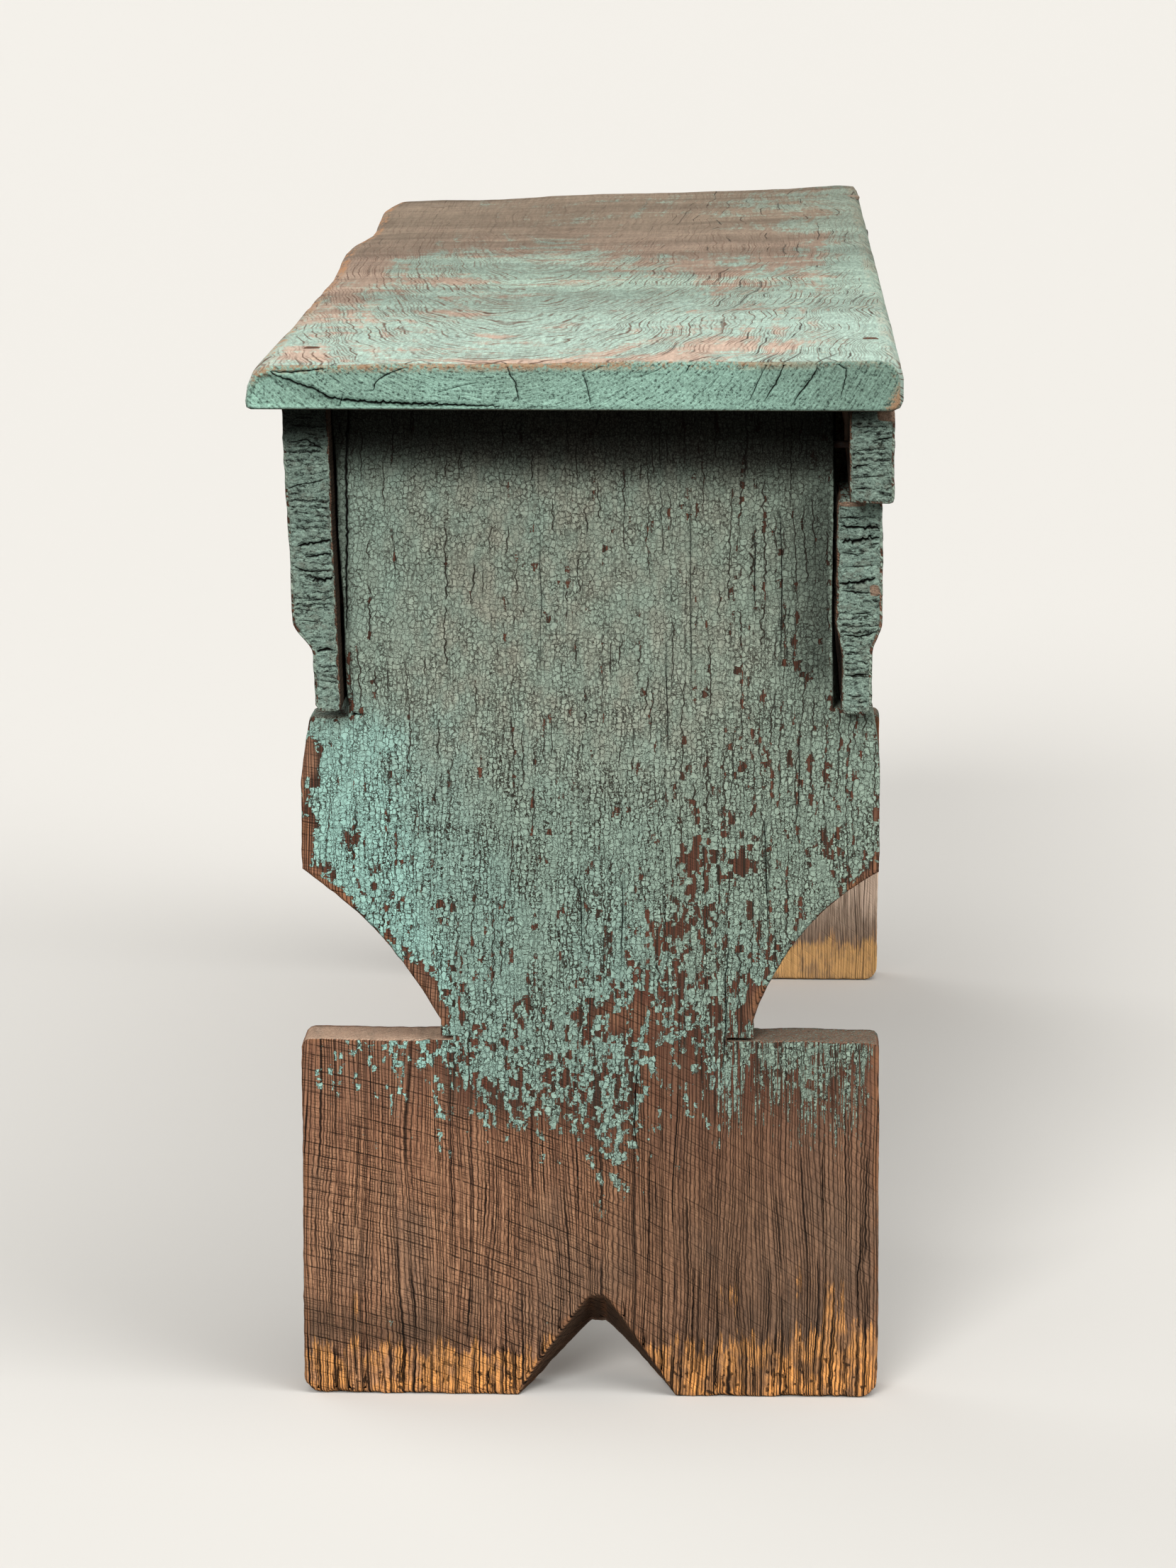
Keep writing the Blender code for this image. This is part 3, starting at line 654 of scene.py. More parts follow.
def crazedPaint(name, along, sawn, blockTop):
    graph = Graph(name)
    place, parts = grainPlace(graph, along)
    across, through, length = parts
    side = across + through
    names = ("paint", "fresh", "rim", "dust", "soil", "tan", "split", "ends", "streak", "grime")
    marks = {key: graph.attribute(key) for key in names}
    cover = marks["paint"]
    wood, height, grain = bareWood(graph, place, parts, sawn, marks)
    broad = graph.noise(place, (20, 20, 13), 3.0, 0.55)
    blocks = 0.4
    if blockTop:
        blocks = graph.step(length + (broad - 0.5) * 0.12, blockTop - 0.10, blockTop, 1.0, 0.45)
    block, net, luck, shade = crazing(graph, place, side, length, paintLook["cell"], paintLook["even"])
    border = graph.math("MINIMUM", net, block + (1 - blocks) * 2.0)
    patch = graph.noise(place, (125, 125, 75), 3.0, 0.6)
    tall = graph.noise(place, (190, 190, 58), 3.0, 0.6)
    grit = graph.noise(place, (1700, 1700, 1300), 2.0, 0.6)
    opening = graph.noise(place, (110, 110, 60), 2.0, 0.5)
    streak = graph.noise(place, (900, 900, 38), 4.0, 0.65)
    drift = graph.noise(place, (45, 45, 9), 2.0)
    jag = graph.noise(place, (75, 75, 190), 2.0)
    shut = graph.noise(place, (230, 230, 200), 2.0, 0.5)

    # long splits along the grain, with the paint gone beside them
    column = side * (1000 / paintLook["splitGap"]) + (drift - 0.5) * 3.0 + (jag - 0.5) * 1.0
    rift = graph.lines(column, paintLook["splitGap"])
    weak = graph.noise(place, (170, 170, 32), 2.0, 0.5) + graph.step(across, -0.03, 0.06, 0.0, 0.06)
    parted = graph.step(weak, 0.54, 0.62)
    beside = graph.fall(rift, 0.3, 1.6) * parted

    # a plate stays while its own luck and that of its patch are under the cover there
    plates = luck * 0.68 + graph.step(tall, 0.28, 0.72) * 0.32
    strokes = graph.step(streak, 0.28, 0.72)
    loss = plates * (1 - marks["streak"]) + strokes * marks["streak"]
    stays = graph.step(cover - beside * 0.14 - loss + (grit - 0.5) * 0.2, -0.02, 0.04)
    gape = graph.step(opening, 0.30, 0.74, 0.07, 0.23)
    closed = graph.step(shut, 0.40, 0.62) * 0.32 + blocks * 0.16 + 0.16
    fine = graph.math("MAXIMUM", graph.step(net / gape, 0.5, 1.4), closed)
    coarse = graph.math("MAXIMUM", graph.step(block / gape, 0.5, 1.4), 1 - blocks)
    slit = graph.math("MAXIMUM", graph.step(rift, 0.10, 0.40), 1 - parted)
    paint = stays * fine * coarse * slit
    clear = graph.step(marks["fresh"] + (broad - 0.5) * 1.2, 0.1, 0.9)
    colour = graph.mix(clear, paintLook["dull"], paintLook["fresh"])
    colour = graph.mix(graph.step(marks["fresh"] + (patch - 0.5) * 0.5, 0.85, 1.35), colour, paintLook["bright"])
    colour = graph.mix(marks["dust"] * graph.step(patch, 0.30, 0.68, 1.1, 0.40), colour, paintLook["dusty"])
    tone = shade * 0.26 + grit * 0.80 + opening * 0.35 + 0.30
    colour = graph.shade(colour, tone)
    chip = graph.mix(graph.step(grain, 0.35, 0.65), paintLook["gap"], paintLook["chip"])
    under = graph.mix(graph.step(cover, 0.22, 0.62), wood, chip)
    under = graph.mix(stays, under, paintLook["gap"])
    film = paint * graph.step(marks["streak"], 0.4, 1.0, 1.0, 0.72)
    base = graph.mix(film, under, colour)
    plate = graph.step(border, 0.10, 0.42, 0.44, 0.31)  # the edges of a plate curl up
    height = height * (1 - paint) + paint * (plate + (grit - 0.5) * 0.2 + shade * 0.1)

    # end grain is rougher, torn into layers, with no plates
    layer = graph.noise(place, (900, 480, 160), 5.0, 0.78, 0.6)
    pit = graph.fall(layer, 0.38, 0.46)
    fold = graph.noise(place, (300, 200, 60), 3.0, 0.6)
    gash = graph.lines(across * (1000 / paintLook["gashGap"]) + (fold - 0.5) * 2.0, paintLook["gashGap"])
    ajar = graph.step(graph.noise(place, (130, 50, 60), 2.0, 0.5), 0.50, 0.58)
    gash = graph.fall(gash, 0.16, 0.70) * ajar * graph.step(layer, 0.42, 0.62, 1.0, 0.45)
    tone = layer * 3.9 + grit * 1.4 - 1.40
    torn = graph.shade(graph.mix(0.5, colour, paintLook["fresh"]), tone)
    torn = graph.mix(graph.step(fold, 0.52, 0.64) * 0.30, torn, paintLook["chip"])
    torn = graph.mix(pit * 0.75, torn, paintLook["pit"])
    torn = graph.mix(gash * 0.95, torn, paintLook["void"])
    torn = graph.mix(graph.step(cover + (patch - 0.5) * 0.7, 0.25, 0.42), wood, torn)
    base = graph.mix(marks["ends"], base, torn)
    height = height * (1 - marks["ends"]) + marks["ends"] * (layer * 2.6 + grit * 0.3 - pit * 0.2 - gash * 0.9)
    # painted shadow and shade: the grime mark darkens the colour towards near black
    base = graph.mix(marks["grime"] * graph.step(grit, 0.25, 0.75, 1.0, 0.85), base, paintLook["void"])
    base = graph.mix(graph.step(marks["split"], 0.05, 0.75), base, paintLook["void"])
    graph.surface(Base_Color=base, Roughness=paint * -0.14 + 0.88, Normal=graph.relief(height))
    graph.surface(Specular_IOR_Level=paintLook["shine"])
    return graph.material


# saw marks on the legs: arcs about a centre at (across, up), pitches in mm, and a wave in the face
legSaw = {"centre": (-0.212, -0.40), "pitch": 5.2, "fine": 1.35, "wave": 0.0056, "waveDepth": 0.00012}

legPaint = crazedPaint("crazed_leg_paint", "z", legSaw, paintLook["blockTop"])
apronPaint = crazedPaint("crazed_apron_paint", "x", None, None)

seatLook = {
    "nearPaint": (0.400, 0.535, 0.465), "midPaint": (0.318, 0.426, 0.357), "farPaint": (0.205, 0.252, 0.205),
    "nearWood": (0.570, 0.430, 0.345), "midWood": (0.400, 0.295, 0.228), "farWood": (0.214, 0.166, 0.123),
    "edge": (0.430, 0.230, 0.120), "cream": (0.860, 0.640, 0.400), "line": (0.060, 0.044, 0.034),
    "hair": (0.130, 0.074, 0.052), "void": (0.010, 0.008, 0.007),
    "endBright": (0.300, 0.490, 0.405), "endDull": (0.225, 0.350, 0.285), "endPit": (0.035, 0.060, 0.048),
    "underside": [(0.3, (0.060, 0.040, 0.028)), (0.52, (0.130, 0.088, 0.060)), (0.75, (0.200, 0.140, 0.098))],
    "crackGap": 9.0, "hairGap": 3.4, "threadGap": 1.3,  # mm between grain lines of three depths
    "heart": (-0.034, 0.554),  # the tree's heart lay above the plank, in front of its middle
    "archStart": -0.45, "archSpread": 0.105, "nearEnd": 0.55, "shine": 0.06,
}

topChecks = [  # (across, reach, drift) of splits that run in from the near end
    (-0.0700, 0.016, 0.30), (-0.0265, 0.009, -0.30), (0.0520, 0.030, 0.35), (0.0845, 0.020, 0.10),
    (0.0920, 0.034, 0.20), (0.1062, 0.046, 0.25), (0.1150, 0.026, -0.30), (-0.1020, 0.012, 0.20),
]


def wornTop(name):
    graph = Graph(name)
    place, parts = grainPlace(graph, "flat")
    across, through, length = parts
    cover, rim, split, ends, under = (graph.attribute(key) for key in ("paint", "rim", "split", "ends", "under"))
    broad = graph.noise(place, (9, 9, 6), 3.0, 0.55)
    patch = graph.noise(place, (28, 28, 20), 4.0, 0.62)
    scrub = graph.noise(place, (14, 14, 80), 4.0, 0.62)
    scratch = graph.noise(place, (60, 60, 420), 3.0, 0.6)
    grit = graph.noise(place, (1500, 1500, 300), 2.0, 0.6)
    speck = graph.noise(place, (620, 620, 90), 3.0, 0.7)
    grain = graph.noise(place, (420, 420, 11), 4.0, 0.62, 0.3)
    paintedRipple = graph.noise(place, (5, 5, 18), 3.0, 0.55)

    # grain lines: long nested arches in front of the middle, wavy lines behind it
    bend = graph.noise(place, (8, 8, 4.5), 2.0)
    swirl = graph.noise(place, (36, 36, 16), 3.0)
    out = across - seatLook["heart"][0]
    along = (length - seatLook["archStart"]) * seatLook["archSpread"]
    arch = graph.math("SQRT", out * out + along * along)
    rear = graph.step(across, 0.0, 0.06)
    flow = (arch + through) * 1000 + (bend - 0.5) * (rear * 44.0 + 10.0) + (swirl - 0.5) * 9.0
    broken = graph.noise(place, (80, 80, 12), 3.0, 0.6)
    faint = graph.noise(place, (60, 60, 14), 3.0, 0.6)
    gaps = (seatLook[key] for key in ("crackGap", "hairGap", "threadGap"))
    deep, wide, thin = (graph.lines(flow / gap, gap) for gap in gaps)
    crack = graph.fall(deep, 0.10, 0.50) * graph.step(broken, 0.53, 0.60) * (rear * 0.65 + 0.35)
    hair = graph.fall(wide, 0.05, 0.40) * graph.step(faint, 0.43, 0.58)
    back = seatLook["nearEnd"] - length
    for side, reach, drift in topChecks:
        aside = graph.math("ABSOLUTE", across - side - back * drift + (swirl - 0.5) * 0.006 + (speck - 0.5) * 0.002)
        check = graph.fall(aside, 0.0002, 0.0008) * graph.fall(back, reach * 0.5, reach)
        crack = graph.math("MAXIMUM", crack, check)
    thread = graph.fall(thin, 0.04, 0.34) * graph.step(broken, 0.40, 0.58)

    # worn bands lie across the plank
    reach = length + (broad - 0.5) * 0.4 + (patch - 0.5) * 0.1
    near = graph.step(reach, 0.10, 0.46)
    middle = graph.step(reach, -0.34, 0.12)
    wood = graph.mix(near, graph.mix(middle, seatLook["farWood"], seatLook["midWood"]), seatLook["nearWood"])
    # painted shading: broad bright and dark bands, as shallow waves in the face would show under the lamp, multiply the
    # colour except at the near end
    wave = graph.step(paintedRipple, 0.34, 0.66, 0.70, 1.16) * (1 - near) + near
    tone = (grain * 0.6 + scrub * 0.6 + speck * 0.8) * wave
    wood = graph.shade(wood, tone)
    rubbed = graph.step(patch * 0.35 + scrub * 0.25 + speck * 0.4, 0.47, 0.55)
    worn = graph.step(rim, 0.0002, 0.0030, 0.95, 0.0) * rubbed
    worn = worn * graph.step(through, 0.456, 0.463) * graph.step(across, 0.06, 0.11, 1.0, 0.35)
    wood = graph.mix(worn, wood, seatLook["edge"])
    paint = graph.mix(near, graph.mix(middle, seatLook["farPaint"], seatLook["midPaint"]), seatLook["nearPaint"])
    tone = (grit * 0.7 + scrub * 0.5 + speck * 1.7 - 0.47) * wave
    paint = graph.shade(paint, tone)
    band = graph.noise(graph.join(flow / 4.5, length * 9.0, 0.0), None, 3.0, 0.6)
    keep = cover + (patch - 0.5) * 1.0 + (scrub - 0.5) * 0.6 + (scratch - 0.5) * 0.4
    keep = keep + (speck - 0.5) * 0.5 + (band - 0.5) * 0.9
    mask = graph.step(keep, 0.38, 0.66) * graph.step(grit, 0.2, 0.42, 0.8, 1.0)
    mask = mask * (1 - worn * 0.9)
    base = graph.mix(mask, wood, paint)
    fleck = graph.step(scratch, 0.64, 0.69) * graph.step(faint, 0.50, 0.6) * graph.step(length, -0.1, 0.25)
    base = graph.mix(fleck * 0.85, base, seatLook["cream"])
    fade = graph.step(length, -0.40, 0.15, 0.25, 1.0)
    base = graph.mix(thread * fade * 0.58, base, seatLook["hair"])
    base = graph.mix(hair * fade * 0.95, base, seatLook["hair"])
    base = graph.mix(crack * 0.9, base, seatLook["line"])
    height = mask * 0.1 + grain * 0.12 + scrub * 0.3 - thread * 0.08 - hair * 0.18 - crack * 0.5 + speck * 0.16

    # the sawn end: thick bright paint over rough slanting fibres
    rise = seatLook["heart"][1] - through
    ring = graph.math("SQRT", out * out + rise * rise)
    turn = graph.math("ARCTAN2", out, rise)
    fibre = graph.noise(graph.join(ring * 1150, turn * 14.0, length * 100), None, 4.0, 0.7, 0.4)
    lump = graph.noise(place, (800, 800, 620), 4.0, 0.72)
    pit = graph.fall(fibre * 0.45 + lump * 0.55, 0.38, 0.45)
    end = graph.mix(graph.step(broad, 0.38, 0.62), seatLook["endBright"], seatLook["endDull"])
    tone = (grit * 0.5 + fibre * 1.7 + lump * 2.3 - 1.30) * graph.step(across, 0.04, 0.13, 1.0, 0.84)
    end = graph.shade(end, tone)
    end = graph.mix(pit * 0.7, end, seatLook["endPit"])
    end = graph.mix(worn * 0.8, end, seatLook["edge"])
    corner = graph.step(across + (lump - 0.5) * 0.014 - (through - 0.45) * 0.5, 0.134, 0.1385)
    end = graph.mix(corner * 0.85, end, seatLook["edge"])
    base = graph.mix(ends, base, end)
    height = height * (1 - ends) + ends * (fibre * 0.7 + lump * 0.9 + grit * 0.2 - pit * 0.25)

    # the underside was never painted
    bare = graph.node("ShaderNodeValToRGB", {"stops": seatLook["underside"]}, {0: grain})
    base = graph.mix(under, base, bare)
    base = graph.mix(graph.step(split, 0.05, 0.85), base, seatLook["void"])
    graph.surface(Base_Color=base, Roughness=mask * -0.12 + 0.84, Normal=graph.relief(height))
    graph.surface(Specular_IOR_Level=seatLook["shine"])
    return graph.material


topPaint = wornTop("worn_seat_paint")

nailLook = {
    "rust": [(0.3, (0.022, 0.014, 0.011)), (0.5, (0.085, 0.036, 0.020)), (0.72, (0.21, 0.082, 0.032))],
    "shaded": (0.008, 0.006, 0.005), "dusty": (0.215, 0.172, 0.130), "metal": 0.35,
}


def rustyIron(name):
    graph = Graph(name)
    place = graph.node("ShaderNodeTexCoord", None, None, 3)
    crust = graph.noise(place, (700, 700, 700), 4.0, 0.65)
    spot = graph.noise(place, (2600, 2600, 2600), 2.0, 0.6)
    along, up = graph.apart(place, 0), graph.apart(place, 2)
    rust = graph.node("ShaderNodeValToRGB", {"stops": nailLook["rust"]}, {0: crust})
    rust = graph.mix(graph.step(up, 0.455, 0.465, 0.7, 0.0), rust, nailLook["shaded"])
    hidden = graph.step(along, -0.1, 0.1, 0.9, 0.0) * graph.step(up, 0.455, 0.465)
    rust = graph.mix(hidden, rust, nailLook["dusty"])  # the seat's far nails lie under dust and paint
    rough = graph.step(crust, 0.3, 0.7, 0.62, 0.92)
    graph.surface(Base_Color=rust, Roughness=rough, Normal=graph.relief(crust * 0.3 + spot * 0.12))
    graph.surface(Metallic=nailLook["metal"])
    return graph.material


nailRust = rustyIron("nail_rust")
print("materials")


# legs: sawn end boards

legSizes = {
    "offset": 0.00695, "footHalf": 0.1285, "footHigh": 0.1625, "footRound": 0.0085, "ledgeRound": 0.004,
    "neckFront": 0.0665, "neckRear": 0.0725, "coveLow": 0.1715, "coveHigh": 0.239,
    "hollowFront": 0.0054, "hollowRear": 0.0086, "shoulderHalf": 0.1277, "shoulderTop": 0.312,
    "shoulderFront": 0.3072, "shoulderRound": 0.002, "taper": 0.0035, "taperBow": -0.0004,
    "bendRear": 0.6, "bendFront": 0.55,  # where the shoulder starts to taper, as a share of its height
    "tongue": 0.1064, "tongueTop": 0.1134, "notchRear": 0.3425, "notchFront": 0.3135, "top": 0.4485,
    "leanRear": (0.0036, 0.0012), "leanFront": (0.0060, 0.0028), "stepFront": 0.0003,  # notches spread inwards
    "archHalf": 0.03525, "archHigh": 0.0467, "archTop": 0.003, "archInnerHalf": 0.0285, "archInnerHigh": 0.027,
    "archOffset": 0.003, "archBow": 0.0008, "tipBow": -0.0005,
    "kerfFront": 0.0055, "kerfRear": 0.0120, "kerfHigh": 0.0016,  # saw kerfs run in under the neck
    "spacing": 0.0017, "faceSpacing": 0.0016, "backSpacing": 0.0032, "wear": 0.0016, "wearAngles": (0, 25, 50, 75),
    "wearRange": (0.0005, 0.004), "cornerWear": 0.0003, "kerfWear": 0.0002,
    "layers": (0.16, 0.3, 0.43, 0.57, 0.7, 0.84),  # rings between the worn edges, as shares of the thickness
    "ragged": 0.00055, "fineRagged": 0.00022, "lowRagged": 0.0011, "rough": 0.00016,
    "lift": 0.0005, "fineLift": 0.00006, "darkSplit": 0.0014,
}


def legSteps(size, share, shift):
    # the leg's outline at a share of its thickness, anticlockwise, each point with the bow of the run after it
    front, rear = shift - size["footHalf"], shift + size["footHalf"]
    corner, ledge, kerf = size["footRound"], size["footHigh"], size["footHigh"] + size["kerfHigh"]
    soft, eased = size["ledgeRound"], size["shoulderRound"]
    half = size["archHalf"] + (size["archInnerHalf"] - size["archHalf"]) * share
    high = size["archHigh"] + (size["archInnerHigh"] - size["archHigh"]) * share
    middle = shift + size["archOffset"]
    tip = size["archTop"]
    bend = size["archBow"]
    shoulder, taper, tongue = size["shoulderHalf"], size["taper"], size["tongue"]
    shoulderTop, shoulderFront = size["shoulderTop"], size["shoulderFront"]
    neckFront, neckRear = size["neckFront"], size["neckRear"]
    kerfFront, kerfRear = size["kerfFront"] - neckFront, neckRear - size["kerfRear"]
    bendRear = size["coveHigh"] + (shoulderTop - size["coveHigh"]) * size["bendRear"]
    bendFront = size["coveHigh"] + (shoulderFront - size["coveHigh"]) * size["bendFront"]
    rearLow, rearHigh = (tongue + lean * share for lean in size["leanRear"])
    frontLow, frontHigh = (lean * share for lean in size["leanFront"])
    points = [
        ((front, corner), quarterBow * corner), ((front + corner, 0), 0),
        ((middle - half, 0), bend), ((middle - tip, high), size["tipBow"]), ((middle + tip, high), bend),
        ((middle + half, 0), 0), ((rear - corner, 0), quarterBow * corner), ((rear, corner), 0),
        ((rear, ledge - soft), quarterBow * soft), ((rear - soft, ledge), 0),
        ((kerfRear, ledge), 0), ((kerfRear, kerf), 0),
        ((neckRear, kerf), 0), ((neckRear, size["coveLow"]), size["hollowRear"]),
        ((shoulder, size["coveHigh"]), 0), ((shoulder, bendRear), size["taperBow"]),
        ((shoulder - taper, shoulderTop - eased), quarterBow * eased),
        ((shoulder - taper - eased, shoulderTop), 0),
        ((rearLow, shoulderTop), 0), ((rearHigh, size["notchRear"]), 0), ((rearHigh, size["top"]), 0),
        ((-size["tongueTop"], size["top"]), 0), ((-tongue - size["stepFront"] - frontHigh, size["notchFront"]), 0),
        ((-tongue - frontLow, shoulderFront), 0),
        ((taper + eased - shoulder, shoulderFront), quarterBow * eased),
        ((taper - shoulder, shoulderFront - eased), size["taperBow"]),
        ((-shoulder, bendFront), 0), ((-shoulder, size["coveHigh"]), size["hollowFront"]),
        ((-neckFront, size["coveLow"]), 0), ((-neckFront, kerf), 0),
        ((kerfFront, kerf), 0), ((kerfFront, ledge), 0),
        ((front + soft, ledge), quarterBow * soft), ((front, ledge - soft), 0),
    ]
    return closedSteps(*zip(*points))


def legRings(size, face, inward, thick, shift, seed):
    base, counts = tracePath(legSteps(size, 0.5, shift), size["spacing"])
    turn = ringTurn(base, 2)
    flat = np.column_stack([np.zeros(len(base)), base])
    wear = size["wear"] * (0.9 + 0.75 * noiseAt(flat, (1, 90, 90), seed, 2))
    wear = np.clip(wear, *size["wearRange"])
    wear[turn < -15] = size["cornerWear"]  # inner corners stay sharp
    atKerf = np.abs(base[:, 1] - size["footHigh"] - size["kerfHigh"] / 2) < 0.0022
    atKerf &= np.abs(base[:, 0]) < size["neckRear"] + 0.002
    wear[atKerf] = size["kerfWear"]
    wear[base[:, 1] > size["shoulderTop"] + 0.003] *= 0.5
    ragged = size["ragged"] * noiseAt(flat, (1, 34, 34), seed + 3, 2)
    ragged = ragged + size["fineRagged"] * noiseAt(flat, (1, 260, 260), seed + 5, 2)
    ragged[atKerf] = 0
    low = base[:, 1] < 0.004
    ragged = np.where(low, -np.abs(size["lowRagged"] * noiseAt(flat, (1, 150, 150), seed + 7, 3)), ragged)
    edge = [(wear * (1 - np.cos(angle)), wear * (1 - np.sin(angle))) for angle in np.radians(size["wearAngles"])]
    plan = list(edge)
    for share in size["layers"]:
        plan.append((np.full(len(base), share * thick), np.zeros(len(base))))
    plan += [(thick - depth, inset) for depth, inset in reversed(edge)]
    rings = []
    for depth, inset in plan:
        share = float(np.mean(depth)) / thick
        ring, _ = tracePath(legSteps(size, share, shift), size["spacing"], counts)
        normal = ringNormals(ring)
        spot = np.column_stack([depth * 3, ring])
        rough = ragged + size["rough"] * noiseAt(spot, (130, 300, 300), seed + 9)
        ring = ring + normal * (np.where(low, ragged, rough) - inset)[:, None]
        ring[:, 1] = np.maximum(ring[:, 1], 0)
        rings.append(np.column_stack([face + inward * depth, ring[:, 0] + size["offset"], ring[:, 1]]))
    return np.array(rings)


rightSplits = [  # (across, top, bottom, width, depth) in mm from the leg's middle line
    (-106.8, 447, 346, 2.0, 4.2),
    (21.5, 152, 112, 1.0, 2.2), (26.5, 112, 52, 0.9, 2.0), (44, 403, 318, 0.7, 1.6), (83, 399, 330, 0.9, 2.0),
    (71, 392, 352, 0.7, 1.5), (34, 341, 292, 0.7, 1.5), (61, 204, 150, 1.0, 2.4), (14, 236, 196, 0.8, 1.6),
    (-5, 234, 199, 0.7, 1.4), (104, 118, 70, 0.8, 1.8), (121, 78, 34, 1.2, 3.0), (47, 58, 4, 1.1, 2.6),
    (57, 48, 3, 0.8, 2.0), (-22, 390, 330, 0.6, 1.2), (92, 300, 262, 0.7, 1.5), (76, 262, 214, 0.8, 1.8),
]


splitSizes = {  # mm
    "bends": 5, "swing": 0.55, "cutWidth": 1.6, "cutDepth": 4.0,
    "edgeHalf": 122, "edgeUp": 2.2, "edgeLong": (7, 26), "edgeShort": (5, 12), "edgeSwing": (0.5, 0.8),
    "edgeWidth": (0.5, 1.1), "edgeDepth": (1.0, 2.4), "edgeGap": (4.5, 10.5),
    "archBare": 10, "archNear": 36, "archSlope": 1.33,
}


def legCracks(splits, size, form, seed, shift):
    chance = np.random.default_rng(seed)
    offset, middle = size["offset"] * 1000, shift * 1000
    cracks = []
    for across, top, bottom, width, depth in splits:
        heights = np.linspace(top, bottom, form["bends"])
        swings = np.cumsum(chance.normal(0, form["swing"], form["bends"]))
        line = [(across + offset + swing, height) for swing, height in zip(swings, heights)]
        cracks.append({"line": line, "width": width, "depth": depth})
    corner = (size["offset"] - size["tongue"]) * 1000
    up = size["shoulderFront"] * 1000
    sawCut = [(corner + 1.2, up + 1.0), (corner + 4.4, up + 1.4)]  # overshot at the front notch
    cracks.append({"line": sawCut, "width": form["cutWidth"], "depth": form["cutDepth"]})
    across = middle - form["edgeHalf"]
    while across < middle + form["edgeHalf"]:  # short splits up from the worn lower edge
        gap = abs(across - middle - size["archOffset"] * 1000)
        low = max(0.0, (size["archHalf"] * 1000 - gap) * form["archSlope"]) + form["edgeUp"]
        if gap > form["archBare"]:
            reach = chance.uniform(*form["edgeLong" if gap > form["archNear"] else "edgeShort"])
            place = across + offset
            line = [(place, low)]
            for share, swing in zip((0.5, 1.0), form["edgeSwing"]):
                line.append((place + chance.normal(0, swing), low + reach * share))
            width = chance.uniform(*form["edgeWidth"])
            cracks.append({"line": line, "width": width, "depth": chance.uniform(*form["edgeDepth"])})
        across += chance.uniform(*form["edgeGap"])
    return cracks


wornSpots = [  # (across, up, half width, half height, loss) on the right leg's face, mm
    (48, 244, 8, 15, 0.30), (68, 246, 6, 11, 0.26), (106, 251, 6, 11, 0.30), (40, 212, 18, 14, 0.14),
    (15, 174, 20, 9, 0.50), (54, 186, 18, 22, 0.03), (-123, 288, 5, 11, 0.55), (-124, 255, 4, 16, 0.35),
    (100, 285, 9, 12, 0.16), (66, 345, 7, 30, 0.10), (30, 150, 12, 12, 0.25), (92, 325, 8, 18, 0.12),
]


scorches = [(62, 46, 7, 16), (94, 52, 8, 12), (108, 44, 6, 10), (-102, 40, 8, 8)]  # across, up and half sizes, mm

legWear = {  # tables over a place in mm
    "paintLow": ([-128, -110, -85, -63, -45, -20, 0, 12, 25, 40, 60, 80, 100, 120, 128],
                 [165, 152, 138, 130, 122, 120, 106, 104, 130, 138, 124, 111, 105, 107, 119]),
    "paintRise": ([-128, -70, -55, -8, 20, 75, 110, 128], [0.42, 0.55, 1.1, 1.0, 0.80, 0.74, 0.70, 0.6]),
    "cover": ([-46, -24, -8, 4, 20, 45, 80, 130, 200], [0.0, 0.07, 0.20, 0.36, 0.58, 0.73, 0.82, 0.89, 0.935]),
    "soilShare": ([-128, -95, -60, -38, 45, 85, 128], [0.7, 0.72, 0.58, 0.35, 0.3, 0.45, 0.45]),
    "soilHigh": ([-128, -60, 50, 90, 128], [33, 31, 28, 44, 52]),
    "tanScale": ([-128, -40, 40, 95, 128], [1.2, 1.15, 1.05, 1.0, 0.90]),
    "tan": ([4, 17, 24, 36], [1.1, 0.85, 0.42, 0.0]),
    "innerTan": ([2, 14, 24, 36], [1.2, 1.0, 0.5, 0.0]),
    "notchTan": ([3, 16], [0.5, 0.0]),
    # painted shade beside the aprons, and how much lower the painted shadow under the seat reaches, across the leg
    "shadeBeside": ([-112, -100, 78, 86, 93, 99, 106], [0.12, 0, 0, 0.25, 0.46, 0.62, 0.70]),
    "shadowShift": ([-100, -30, 30, 100], [0.5, 3.5, 5.5, 7.0]),
}


